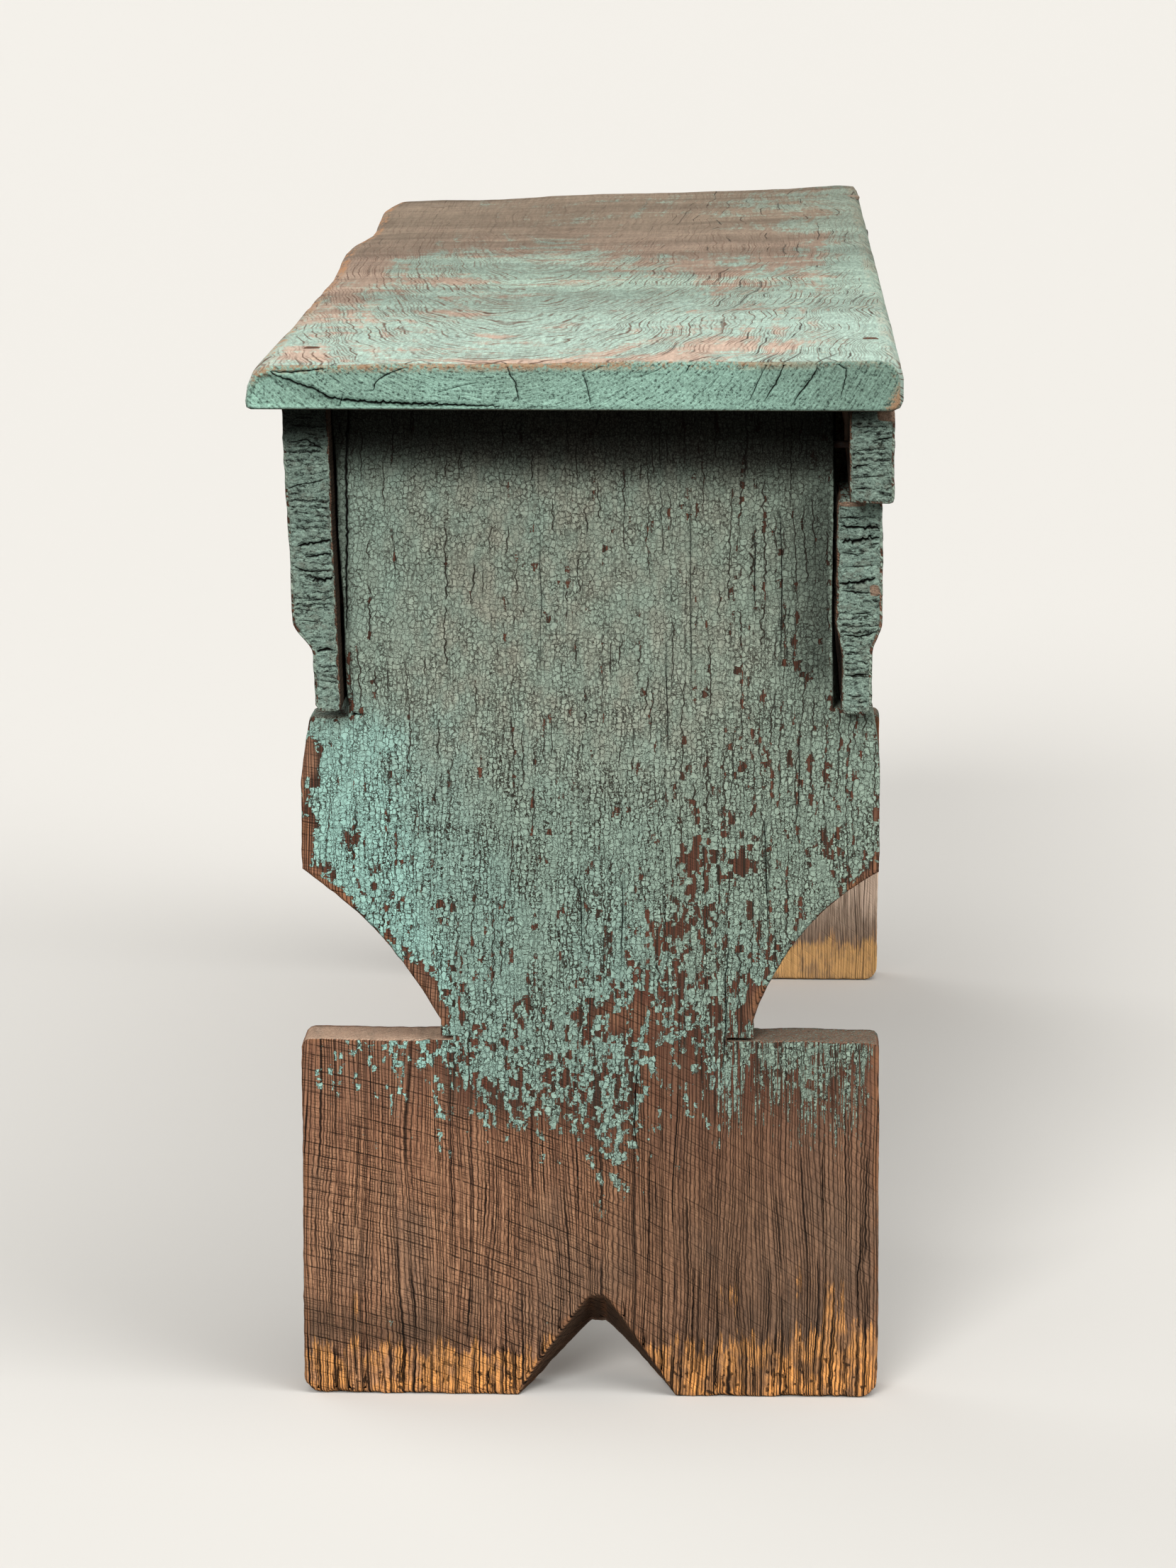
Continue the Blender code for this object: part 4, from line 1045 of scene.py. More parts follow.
def legMarks(facts, size, shift, back, spots, seed):
    place, normal, rim, zone = (facts[key] for key in ("place", "normal", "rim", "zone"))
    y = (place[:, 1] - size["offset"]) * 1000
    z = place[:, 2] * 1000
    foot = y - shift * 1000
    wobble = noiseAt(place, (40, 55, 30), seed, 3)
    wall = zone == 0
    inner = (zone == 2) | (wall & (np.abs(place[:, 0] - back) < 0.003))
    upward = wall & (normal[:, 2] > 0.7)
    downward = wall & (normal[:, 2] < -0.4)
    notch = wall & (z < 46) & (np.abs(foot - size["archOffset"] * 1000) < 42) & (normal[:, 2] < -0.3)

    # paint: whole at the top, gone from the foot, thin at the edges and on the inner face
    above = (z - np.interp(foot, *legWear["paintLow"]) + wobble * 11) * np.interp(foot, *legWear["paintRise"])
    cover = np.interp(above, *legWear["cover"])
    cover = cover - smoothStep(foot, -62, -72) * (z < 163) * 0.10
    cover = cover + 0.13 * smoothStep(y, -25, -75) * smoothStep(z, 185, 215)
    for across, up, wide, tall, loss in spots:
        cover = cover - loss * blot(y, z, (across, up), (wide, tall))
    cove = smoothStep(z, 250, 235) * smoothStep(z, 160, 168)
    edge = np.exp(-rim / (0.0016 + 0.0014 * cove)) * smoothStep(noiseAt(place, (60, 60, 60), seed + 4, 2), -0.25, 0.3)
    cover = cover - edge * np.where(z > 318, 0.1, np.where(z > 298, 0.3, 0.6 + 0.4 * cove))
    cover = cover + smoothStep(foot, 60, 76) * (z < 170) * (0.16 * smoothStep(z, 142, 160) - 0.16)
    cover = np.where(inner, cover * 0.8 - 0.08 + wobble * 0.1, cover)
    cover = np.where(upward & (z < 200), np.where(y > 0, 0.42, 0.04), cover)
    cover = np.where(wall & (z < 158), cover * 0.35, cover)
    cover = np.where(downward & (z > 160), cover - 0.3, cover)
    streak = np.where(upward, 1.0, 0.62 * smoothStep(foot, 42, 66) * smoothStep(z, 205, 165))
    fresh = 0.35 + 1.0 * np.exp(-((y + 105) / 45) ** 2) * smoothStep(z, 330, 290) + 0.3 * smoothStep(z, 260, 190)
    fresh = fresh - 0.35 * smoothStep(y, 10, 80) * smoothStep(z, 150, 220)
    fresh = fresh - 0.5 * smoothStep(foot, 50, 80) * smoothStep(z, 172, 160)

    # dust lies on the upper middle and on ledges, soil and a tan band along the foot
    dust = 0.9 * smoothStep(z, 240, 320) * np.exp(-((y + 6) / 95) ** 4) * (0.8 + 0.5 * wobble)
    dust = np.where(upward, np.where(y > 0, 0.54, 0.84), np.clip(dust, 0, 1))
    # inner faces: a pale veil over the foot, real dust and also painted light, brightening the far foot where the lamps
    # leave it in shade
    dustAndPaintedLight = smoothStep(z + 6 * wobble, 16, 58)
    dustAndPaintedLight = (0.42 + 1.05 * dustAndPaintedLight) * smoothStep(z, 150, 85) * (0.5 + 0.5 * smoothStep(y, 0, 80))
    dust = np.where(inner, dustAndPaintedLight, dust)
    soil = np.exp(-((z - np.interp(foot, *legWear["soilHigh"]) - 5 * wobble) / 15) ** 2)
    soil = soil * np.interp(foot, *legWear["soilShare"])
    soil = np.where(notch, 0.7, np.where(inner, soil * 0.35, soil))
    tan = np.interp(z * np.interp(foot, *legWear["tanScale"]) + 4 * wobble, *legWear["tan"])
    tan = tan + 0.2 * smoothStep(foot, 60, 100) * smoothStep(z, 44, 30)
    for across, up, wide, tall in scorches:
        tan = tan + 0.36 * blot(foot, z, (across, up), (wide, tall))
    tan = np.where(inner, np.interp(z + 6 * wobble, *legWear["innerTan"]), tan)
    tan = np.where(notch, np.interp(z, *legWear["notchTan"]), tan)

    # painted shadow under the seat, reaching lower towards the rear edge, and painted shade on the face beside the
    # aprons, strongest by the rear one
    grime = 0.985 * smoothStep(z + np.interp(y, *legWear["shadowShift"]), 406, 430)
    beside = np.interp(y, *legWear["shadeBeside"]) * smoothStep(z, 312, 334) * (zone == 1)
    return {"paint": np.clip(cover, 0, 1), "fresh": fresh, "rim": rim, "dust": dust, "soil": soil, "tan": tan,
            "streak": streak, "split": np.clip(facts["split"] / size["darkSplit"], 0, 1), "ends": np.zeros(len(z)),
            "grime": np.maximum(grime, beside)}


def addLeg(name, node, size, inward, shift, splits, spots, seed):
    low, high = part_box(node)
    face = high[0] if inward < 0 else low[0]
    thick = high[0] - low[0]
    rings = legRings(size, face, inward, thick, shift, seed)
    caps = [{"spacing": size["faceSpacing"], "seed": seed, "cracks": legCracks(splits, size, splitSizes, seed, shift)},
            {"spacing": size["backSpacing"], "seed": seed, "cracks": []}]
    board, facts = buildBoard(name, rings, caps)
    place = facts["place"]
    lift = size["lift"] * noiseAt(place, (14, 14, 9), seed + 11, 2)
    lift = lift + size["fineLift"] * noiseAt(place, (60, 300, 18), seed + 12, 2)
    bare = smoothStep(place[:, 2], 0.16, 0.11) * (facts["zone"] == 1)
    reach = np.hypot(place[:, 1] - legSaw["centre"][0], place[:, 2] - legSaw["centre"][1])
    lift = lift + bare * legSaw["waveDepth"] * np.sin(reach * 2 * math.pi / legSaw["wave"])
    lift = np.where(place[:, 2] < 0.0015, np.minimum(lift, 0), lift)
    marks = legMarks(facts, size, shift, face + inward * thick, spots, seed)
    finishBoard(board, facts, lift, marks, legPaint, [node])


addLeg("rightLeg", "right_leg", legSizes, -1, 0.0, rightSplits, wornSpots, 3)
addLeg("leftLeg", "left_leg", legSizes, 1, 0.012, rightSplits[::2], wornSpots[3:8], 21)


# aprons: boards with a moulded lower edge

apronSizes = {
    "thick": 0.0198, "lipHigh": 0.0255, "lipRound": 0.003, "lipBevel": 0.0009, "mouldHigh": 0.015, "mouldSteps": 9,
    "frontDepth": 0.0085, "rearDepth": 0.0042, "rearCut": 0.0025, "frontHigh": 0.1362, "lean": 2.2,
    "frontBow": 0.0004, "rearBow": -0.0042, "bowFrom": (0.048, 0.085),  # bows between the legs, this far from the ends
    "spacing": 0.0022, "along": 0.0045, "endSpacing": 0.0010, "wear": 0.0010, "wearAngles": (0, 30, 60), "soft": 0.0007,
    "rough": 0.0005, "fineRough": 0.0002, "endRough": 0.0004,
    "lift": 0.0004, "fineLift": 0.00012, "tornLift": 0.0008, "tornSink": 0.0003, "darkSplit": 0.0013,
}


def apronProfile(size, height, depth, cut):
    # from the inner top edge, as (outward, up)
    outer = size["thick"]
    lip = outer - depth
    lipTop = size["lipHigh"] - height
    soft, bevel = size["lipRound"], size["lipBevel"]
    shape = [(0, 0), (0, lipTop + size["mouldHigh"]), (cut, lipTop), (cut, -height), (lip - soft, -height),
             (lip - bevel, bevel - height), (lip, soft - height), (lip, lipTop)]
    for share in np.linspace(0, 1, size["mouldSteps"])[1:]:
        shape.append((lip + depth * (0.5 - 0.5 * math.cos(math.pi * share)), lipTop + size["mouldHigh"] * share))
    shape.append((outer, 0))
    return shape


def apronRings(profile, size, left, right, bow, seed):
    ring, _ = tracePath(closedSteps(profile), size["spacing"])
    if np.sum(ring[:, 0] * np.roll(ring[:, 1], -1) - ring[:, 1] * np.roll(ring[:, 0], -1)) < 0:
        ring = ring[::-1]
    normal = ringNormals(ring)
    soft = np.where(np.abs(ringTurn(ring, 1)) > 40, size["soft"], 0.0)  # takes the sharpness off the long arrises
    wear = size["wear"]
    angles = np.radians(size["wearAngles"])
    stations = [wear * (1 - math.cos(angle)) for angle in angles]
    insets = [wear * (1 - math.sin(angle)) for angle in angles]
    count = int((right - left) / size["along"])
    places = [left + station for station in stations]
    places += list(np.linspace(left + wear * 1.3, right - wear * 1.3, count))
    places += [right - station for station in reversed(stations)]
    insets = insets + [0.0] * count + insets[::-1]
    rings = []
    for x, inset in zip(places, insets):
        toEnd = min(x - left, right - x)
        spot = np.column_stack([np.full(len(ring), x), ring])
        rough = size["rough"] * noiseAt(spot, (9, 30, 30), seed, 2)
        rough = rough + size["fineRough"] * noiseAt(spot, (30, 240, 240), seed + 2, 2)
        rough = rough + smoothStep(toEnd, 0.02, 0.0) * size["endRough"] * noiseAt(spot, (60, 130, 190), seed + 4, 3)
        chew = soft * (1.0 + 1.2 * noiseAt(spot, (45, 60, 60), seed + 6, 2))
        moved = ring + normal * (rough - inset - np.clip(chew, 0, 0.003))[:, None]
        moved[:, 0] += bow * smoothStep(toEnd, *size["bowFrom"])
        rings.append(np.column_stack([np.full(len(ring), x), moved]))
    return np.array(rings)


def apronMarks(facts, size, outward, bared, seed):
    place, normal, rim, zone = (facts[key] for key in ("place", "normal", "rim", "zone"))
    x, y, z = place[:, 0], place[:, 1], place[:, 2]
    wobble = noiseAt(place, (14, 40, 40), seed, 3)
    cover = 0.84 + 0.14 * wobble
    edge = np.exp(-rim / 0.0020) * smoothStep(noiseAt(place, (40, 60, 60), seed + 4, 2), -0.3, 0.35)
    cover = cover - 0.35 * edge
    inside = smoothStep(normal[:, 1] * outward, -0.3, -0.7) * (zone == 0)
    cover = cover * (1 - inside * 0.96)
    below = (normal[:, 2] < -0.6) & (zone == 0)
    cover = np.where(below, cover * 0.6, cover)
    ends = np.where(zone > 0, 1.0, 0.0)
    cover = np.where(zone > 0, 0.9, cover)
    shown = np.zeros(len(rim))
    tip = smoothStep(x, x.max() - 0.014, x.max() - 0.005)
    for across, up, wide, tall in bared:
        bare = tip * blot(y * 1000, z * 1000, (across, up), (wide, tall), 4)
        cover = cover * (1 - bare)
        shown = np.maximum(shown, bare)
    dust = np.maximum(np.clip(0.35 + 0.25 * wobble, 0, 1), 0.85 * shown)
    # painted shadow under the seat: the tops of the front apron and of the rear rail go towards black, and the rest of
    # the rear rail is a sixth darker
    if outward < 0:
        shade = 0.94 * smoothStep(z + 0.006 * wobble, 0.424, 0.441)
    else:
        shade = 0.16 * smoothStep(z, 0.402, 0.410) + 0.64 * smoothStep(z, 0.436, 0.449)
    # painted shade on the inner faces near the ends, in the gaps between the aprons and the legs; bared spots keep
    # their colour
    grime = np.maximum(shade * (1 - shown), inside * smoothStep(np.abs(x), 0.40, 0.47) * 0.97)
    return {"paint": np.clip(cover, 0, 1), "fresh": 0.4 + 0.4 * wobble, "rim": rim, "dust": dust, "soil": inside * 0.5,
            "tan": np.zeros(len(rim)), "streak": np.zeros(len(rim)),
            "split": np.clip(facts["split"] / size["darkSplit"], 0, 1), "ends": ends, "grime": grime}


checkShape = {  # mm
    "stray": 0.3, "margin": 1.4, "startIn": 5, "stopIn": 8, "points": 5, "tilt": 1.0, "wander": 0.35,
    "depth": 1.2, "depthShare": 1.5,
}


def endChecks(low, high, count, seed, width, form=checkShape):
    # dark open checks across the end grain of a board
    chance = np.random.default_rng(seed)
    checks = []
    span = (high[1] - low[1]) * 1000
    for index in range(count):
        up = low[1] * 1000 + span * (index + 0.5 + chance.uniform(-form["stray"], form["stray"])) / count
        first = low[0] * 1000 + form["margin"] + chance.uniform(0, form["startIn"]) * (index % 3 > 0)
        last = high[0] * 1000 - form["margin"] - chance.uniform(0, form["stopIn"]) * (index % 2)
        tilt = chance.normal(0, form["tilt"])
        line = []
        for share in np.linspace(0, 1, form["points"]):
            wander = chance.normal(0, form["wander"])
            line.append((first + (last - first) * share, up + tilt * (share - 0.5) + wander))
        wide = chance.uniform(*width)
        checks.append({"line": line, "width": wide, "depth": form["depth"] + wide * form["depthShare"]})
    return checks


def addApron(name, node, profile, size, outward, bow, checks, bared, seed):
    low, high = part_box(node)
    rings = apronRings(profile, size, low[0], high[0], bow, seed)
    caps = [{"spacing": size["endSpacing"], "seed": seed + side, "cracks": checks[side]} for side in range(2)]
    board, facts = buildBoard(name, rings, caps)
    place = facts["place"]
    lift = size["lift"] * noiseAt(place, (8, 22, 22), seed + 13, 2)
    lift = lift + size["fineLift"] * noiseAt(place, (18, 260, 260), seed + 14, 2)
    torn = noiseAt(place, (40, 130, 330), seed + 15, 3)
    lift = lift + (facts["zone"] > 0) * (size["tornLift"] * torn - size["tornSink"])
    marks = apronMarks(facts, size, outward, bared, seed)
    finishBoard(board, facts, lift, marks, apronPaint, [node])


frontEndCracks = [  # lines in mm on the near ends, as the photograph shows them
    {"line": [(-124.0, 410.4), (-118.2, 412.3), (-111.8, 413.2), (-106.6, 415.2)], "width": 1.0, "depth": 1.8},
    {"line": [(-120.0, 385.2), (-112.0, 386.6), (-105.6, 387.8)], "width": 2.4, "depth": 3.6},
    {"line": [(-116.0, 380.2), (-105.4, 382.0)], "width": 1.5, "depth": 2.8},
    {"line": [(-120.8, 375.4), (-116.0, 373.8), (-105.2, 374.5)], "width": 1.2, "depth": 2.2},
    {"line": [(-113.5, 370.0), (-105.0, 371.0)], "width": 3.6, "depth": 4.4},
    {"line": [(-111.8, 338.6), (-107.6, 339.6), (-104.5, 339.4)], "width": 2.2, "depth": 3.0},
    {"line": [(-122.8, 430.6), (-116.4, 431.7), (-108.5, 427.5)], "width": 1.4, "depth": 2.2},
    {"line": [(-122.0, 400.2), (-113.0, 399.0)], "width": 0.8, "depth": 1.2},
    {"line": [(-117.0, 361.0), (-106.0, 362.5)], "width": 0.8, "depth": 1.2},
    {"line": [(-119.5, 352.5), (-110.0, 351.6)], "width": 0.8, "depth": 1.2},
    {"line": [(-111.0, 326.0), (-104.5, 325.0)], "width": 0.8, "depth": 1.2},
]

boardEndCracks = [
    {"line": [(117.0, 398.3), (124.9, 398.6)], "width": 1.2, "depth": 2.0},
    {"line": [(117.1, 394.6), (124.9, 394.2), (133.2, 394.0)], "width": 2.4, "depth": 3.6},
    {"line": [(117.6, 387.6), (124.0, 388.6), (133.2, 390.0)], "width": 3.6, "depth": 4.6},
    {"line": [(116.6, 369.4), (125.1, 370.5), (131.4, 371.7)], "width": 3.4, "depth": 4.6},
    {"line": [(117.3, 366.5), (129.9, 365.5)], "width": 1.4, "depth": 2.0},
    {"line": [(119.0, 346.9), (125.3, 346.3), (131.2, 348.1)], "width": 1.5, "depth": 2.4},
    {"line": [(120.7, 329.1), (128.6, 329.8)], "width": 1.7, "depth": 2.6},
    {"line": [(117.9, 383.2), (125.0, 382.1)], "width": 1.0, "depth": 1.6},
    {"line": [(122.1, 356.2), (129.9, 357.0)], "width": 0.9, "depth": 1.4},
    {"line": [(118.0, 376.8), (131.0, 377.6)], "width": 0.8, "depth": 1.2},
    {"line": [(119.5, 339.6), (127.0, 338.8)], "width": 0.8, "depth": 1.2},
    {"line": [(119.5, 320.2), (127.5, 319.8)], "width": 0.8, "depth": 1.2},
]

railEndCracks = [
    {"line": [(121.4, 423.0), (128.4, 424.6)], "width": 1.5, "depth": 2.4},
    {"line": [(130.7, 434.7), (138.0, 436.0)], "width": 1.5, "depth": 2.4},
    {"line": [(122.2, 413.6), (129.3, 414.1)], "width": 1.2, "depth": 1.8},
    {"line": [(121.5, 418.6), (137.5, 419.6)], "width": 0.8, "depth": 1.2},
    {"line": [(122.0, 430.0), (131.0, 431.0)], "width": 0.8, "depth": 1.2},
]

boardBared = [(131.5, 366.5, 2.6, 3.0), (122.0, 404.4, 7.0, 1.2)]  # (across, up, half width, half height), mm
railBared = [(136.0, 446.0, 4.6, 3.6)]


def addAprons(size):
    lean = math.radians(size["lean"])
    low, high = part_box("front_apron")
    shape = np.array(apronProfile(size, size["frontHigh"], size["frontDepth"], 0))
    across = -shape[:, 0] * math.cos(lean) - shape[:, 1] * math.sin(lean)
    up = -shape[:, 0] * math.sin(lean) + shape[:, 1] * math.cos(lean)
    profile = np.column_stack([across - across.max() + high[1], up + high[2]])
    checks = [endChecks((-0.1235, 0.344), (-0.1070, 0.442), 8, 31, (0.5, 1.9)), frontEndCracks]
    checks[0] += endChecks((-0.1135, 0.316), (-0.1040, 0.338), 2, 44, (0.5, 1.2))
    addApron("frontApron", "front_apron", profile, size, -1, size["frontBow"], checks, [], 41)

    low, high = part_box("rear_apron_board")
    shape = np.array(apronProfile(size, high[2] - low[2], size["rearDepth"], size["rearCut"]))
    profile = np.column_stack([shape[:, 0] + low[1], shape[:, 1] + high[2]])
    checks = [endChecks((low[1] + 0.002, 0.318), (high[1] - 0.004, 0.404), 9, 35, (0.5, 1.9)), boardEndCracks]
    addApron("rearBoard", "rear_apron_board", profile, size, 1, size["rearBow"], checks, boardBared, 51)

    low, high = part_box("rear_apron_rail")
    profile = [(low[1], high[2]), (low[1], low[2]), (high[1], low[2]), (high[1], high[2])]
    checks = [endChecks((low[1], low[2]), (high[1], high[2]), 4, 38, (0.5, 1.4)), railEndCracks]
    addApron("rearRail", "rear_apron_rail", profile, size, 1, 0.0, checks, railBared, 61)


addAprons(apronSizes)


# seat: a wide plank with a wavy front edge, in winding along its length

seatSizes = {
    "length": 1.100, "width": 0.2904, "offset": -0.00225, "thick": 0.0205, "bottom": 0.4488,
    "twistRight": 0.0016, "twistLeft": 0.0048, "rearTaper": 0.009, "wear": 0.0014, "wearAngles": (0, 22, 45, 68),
    "corner": 0.011, "cornerRight": 0.55, "cornerLow": 0.6, "cornerSteps": (0.18, 0.3, 0.45, 0.65, 0.86),
    "across": 0.0021, "below": 0.0055, "along": 0.0042, "endSpacing": 0.0010,
    "hollowMiddle": (0.02, 0.03), "hollowHalf": (0.26, 0.11), "hollowDeep": 0.0026,  # sat hollow
    "cornerRise": 0.0018, "splinterBack": 0.0022, "darkSplit": 0.0020,
    "lift": 0.0009, "fineLift": 0.0003, "rough": 0.0003, "endRough": 0.0005,
    # the front edge's upper arris, wavy, and how far the lower arris stands out in front of it
    "frontX": (-0.55, -0.540, -0.528, -0.516, -0.490, -0.464, -0.439, -0.414, -0.389, -0.364, -0.340, -0.316, -0.292,
               -0.269, -0.247, -0.225, -0.203, -0.149, -0.097, -0.045, 0.004, 0.052, 0.099, 0.188, 0.31, 0.426, 0.497,
               0.531, 0.55),
    "frontY": (-0.1405, -0.1440, -0.1455, -0.1461, -0.1470, -0.1474, -0.1469, -0.1460, -0.1452, -0.1443, -0.1431,
               -0.1422, -0.1420, -0.1422, -0.1431, -0.1443, -0.1455, -0.1462, -0.1450, -0.1427, -0.1408, -0.1394,
               -0.1387, -0.1378, -0.1367, -0.1360, -0.1352, -0.1346, -0.1340),
    "slantX": (-0.55, -0.10, 0.05, 0.25, 0.42, 0.55),
    "slantY": (0.0004, 0.0004, 0.0008, 0.0022, 0.0040, 0.0054),
}


def seatTopHeight(size, x, y):
    share = x / size["length"] + 0.5
    twist = size["twistLeft"] + (size["twistRight"] - size["twistLeft"]) * share
    return size["bottom"] + size["thick"] + twist * 2 * (y - size["offset"]) / size["width"]


def smoothCurve(knots, values, x):
    knots = np.array(knots)
    values = np.array(values)
    slopes = np.gradient(values, knots)
    index = int(np.clip(np.searchsorted(knots, x) - 1, 0, len(knots) - 2))
    span = knots[index + 1] - knots[index]
    t = (x - knots[index]) / span
    a = 2 * t ** 3 - 3 * t ** 2 + 1
    b = t ** 3 - 2 * t ** 2 + t
    c = -2 * t ** 3 + 3 * t ** 2
    d = t ** 3 - t ** 2
    return a * values[index] + b * span * slopes[index] + c * values[index + 1] + d * span * slopes[index + 1]


def seatSection(size, x, inset):
    half = size["length"] / 2
    room = half - abs(x)
    short = max(size["corner"] - room, 0) * (size["cornerRight"] if x > 0 else 1.0)
    pull = size["corner"] - math.sqrt(max(size["corner"] ** 2 - short ** 2, 0))
    upper = smoothCurve(size["frontX"], size["frontY"], x) + pull + inset
    lower = upper - float(np.interp(x, size["slantX"], size["slantY"])) - pull * size["cornerLow"]
    rear = size["offset"] + size["width"] / 2 - size["rearTaper"] * (0.5 - x / size["length"]) - pull - inset
    low = size["bottom"] + inset
    frontTop = seatTopHeight(size, x, upper) - inset
    rearTop = seatTopHeight(size, x, rear - 0.008) - inset
    rise = rearTop - low
    tall = frontTop - low
    lean = upper - lower
    points = [(lower + 0.0022, low), (rear - 0.004, low), (rear - 0.0012, low + 0.0012), (rear, low + 0.004),
              (rear, low + rise * 0.62), (rear - 0.0012, low + rise * 0.82), (rear - 0.0045, rearTop - 0.0006),
              (rear - 0.010, rearTop), (upper + 0.009, frontTop), (upper + 0.0036, frontTop - 0.0004),
              (upper + 0.0008, frontTop - 0.0017), (upper - lean * 0.42, low + tall * 0.78),
              (upper - lean * 0.86, low + tall * 0.50), (lower, low + 0.0034), (lower + 0.0004, low + 0.0009)]
    return closedSteps(points)


def seatRings(size):
    half = size["length"] / 2
    middle = seatSection(size, 0.3, 0.0)
    counts = []
    for index, (start, end, _) in enumerate(middle):
        gap = size["below"] if index == 0 else size["across"]
        counts.append(max(2 if index else 1, round(math.dist(start, end) / gap)))
    wear = size["wear"]
    ends = [(wear * (1 - math.cos(angle)), wear * (1 - math.sin(angle))) for angle in np.radians(size["wearAngles"])]
    ends += [(size["corner"] * share, 0.0) for share in size["cornerSteps"]]
    count = int((size["length"] - 2 * wear) / size["along"])
    plan = [(-half + depth, inset) for depth, inset in ends]
    plan += [(x, 0.0) for x in np.linspace(-half + size["corner"] * 1.1, half - size["corner"] * 1.1, count)]
    plan += [(half - depth, inset) for depth, inset in reversed(ends)]
    rings = []
    for x, inset in plan:
        ring, _ = tracePath(seatSection(size, x, inset), 1, counts)
        rings.append(np.column_stack([np.full(len(ring), x), ring]))
    return np.array(rings)


seatShake = [(-127.5, 464.2), (-125.9, 463.5), (-118.8, 460.9), (-108.7, 457.4), (-102.7, 453.9), (-90.5, 452.4),
             (-68.3, 451.5), (-48.0, 451.0), (-30.0, 450.6)]

seatEndCracks = [  # lines in mm on the near end, as the photograph shows them
    {"line": seatShake, "width": 2.4, "depth": 5.0},
    {"line": [(-127.9, 465.2), (-118.8, 464.8), (-108.7, 466.0), (-101.4, 467.2)], "width": 1.2, "depth": 2.4},
    {"line": [(-70.2, 468.0), (-70.6, 467.0), (-78.3, 464.1), (-83.2, 460.6), (-83.9, 457.3), (-87.0, 456.8)],
     "width": 1.0, "depth": 2.4},
    {"line": [(-97.1, 455.6), (-98.5, 450.3)], "width": 1.0, "depth": 2.0},
    {"line": [(-26.7, 468.2), (-25.3, 463.8), (-23.2, 460.8), (-21.7, 452.9)], "width": 1.2, "depth": 2.8},
    {"line": [(-47.0, 455.1), (-47.6, 452.6)], "width": 0.8, "depth": 1.6},
    {"line": [(5.6, 464.9), (7.6, 458.8), (9.1, 451.3)], "width": 0.9, "depth": 2.0},
    {"line": [(-58.1, 467.2), (-55.0, 467.5)], "width": 0.9, "depth": 1.6},
    {"line": [(15.2, 468.3), (12.2, 467.2), (9.1, 465.4)], "width": 0.8, "depth": 1.6},
    {"line": [(51.5, 468.6), (49.5, 464.9)], "width": 0.9, "depth": 2.0},
    {"line": [(84.2, 468.8), (81.8, 464.1), (78.8, 457.6), (76.3, 452.2)], "width": 0.8, "depth": 2.0},
    {"line": [(91.6, 469.0), (90.3, 465.2), (87.8, 460.1), (84.8, 456.1), (83.3, 453.0)], "width": 1.2, "depth": 2.8},
    {"line": [(105.9, 468.6), (105.4, 466.2), (101.9, 460.8), (98.4, 456.6), (95.1, 451.4)],
     "width": 1.2, "depth": 2.8},
    {"line": [(114.5, 469.2), (118.2, 467.0), (118.0, 463.2), (115.6, 454.3)], "width": 1.0, "depth": 2.4},
    {"line": [(64.0, 464.0), (59.5, 458.5)], "width": 0.6, "depth": 1.2},
    {"line": [(-56, 456.5), (-48, 459), (-40, 460.5)], "width": 0.6, "depth": 1.2},
    {"line": [(29.0, 463.0), (38.0, 466.4)], "width": 0.5, "depth": 1.0},
]

seatPatches = [  # (along, across, half length, half width, gain) of worn and of kept paint on the upper face
    (-0.045, -0.088, 0.045, 0.034, 0.42), (0.030, -0.048, 0.040, 0.030, 0.26), (-0.015, -0.130, 0.050, 0.016, -0.45),
    (-0.39, -0.12, 0.10, 0.040, -0.25), (-0.21, 0.025, 0.10, 0.050, -0.28), (0.030, 0.056, 0.050, 0.040, -0.16),
    (-0.15, 0.080, 0.050, 0.040, -0.22), (-0.45, 0.085, 0.07, 0.050, 0.24), (-0.25, 0.100, 0.05, 0.030, 0.30),
    (-0.33, -0.03, 0.05, 0.030, 0.16), (0.47, 0.070, 0.040, 0.040, -0.26), (0.535, -0.02, 0.014, 0.070, -0.30),
    (0.505, -0.115, 0.030, 0.014, -0.20), (0.22, 0.02, 0.09, 0.060, 0.12),
]


def seatMarks(facts, size, seed):
    place, normal, rim = (facts[key] for key in ("place", "normal", "rim"))
    x, y = place[:, 0], place[:, 1]
    wobble = noiseAt(place, (4, 14, 14), seed, 3)
    share = x / size["length"] + 0.5
    cover = np.interp(share, [0, 0.22, 0.4, 0.55, 0.8, 1.0], [0.30, 0.34, 0.46, 0.60, 0.70, 0.68])
    cover = cover + smoothStep(normal[:, 2], 0.75, 0.35) * 0.2
    cover = cover - 0.30 * np.exp(-((y + 0.139) / 0.030) ** 2) * smoothStep(share, 0.95, 0.6)
    cover = cover + 0.12 * wobble + 0.28 * smoothStep(y, 0.104, 0.126)
    for along, across, long, wide, gain in seatPatches:
        cover = cover + gain * blot(x, y, (along, across), (long, wide))
    worn = np.exp(-((x - size["length"] / 2 + 0.002) / 0.012) ** 2)
    worn = worn * smoothStep(noiseAt(place, (12, 26, 12), seed + 6, 2), -0.1, 0.35)
    cover = cover - 0.5 * worn * (normal[:, 2] > 0.5)
    ends = smoothStep(np.abs(x), size["length"] / 2 - 0.0012, size["length"] / 2 - 0.0002)
    under = smoothStep(normal[:, 2], -0.55, -0.85)
    return {"paint": np.clip(cover, 0, 1), "rim": np.minimum(rim, 0.02),
            "split": np.clip(facts["split"] / size["darkSplit"], 0, 1), "ends": ends, "under": under}


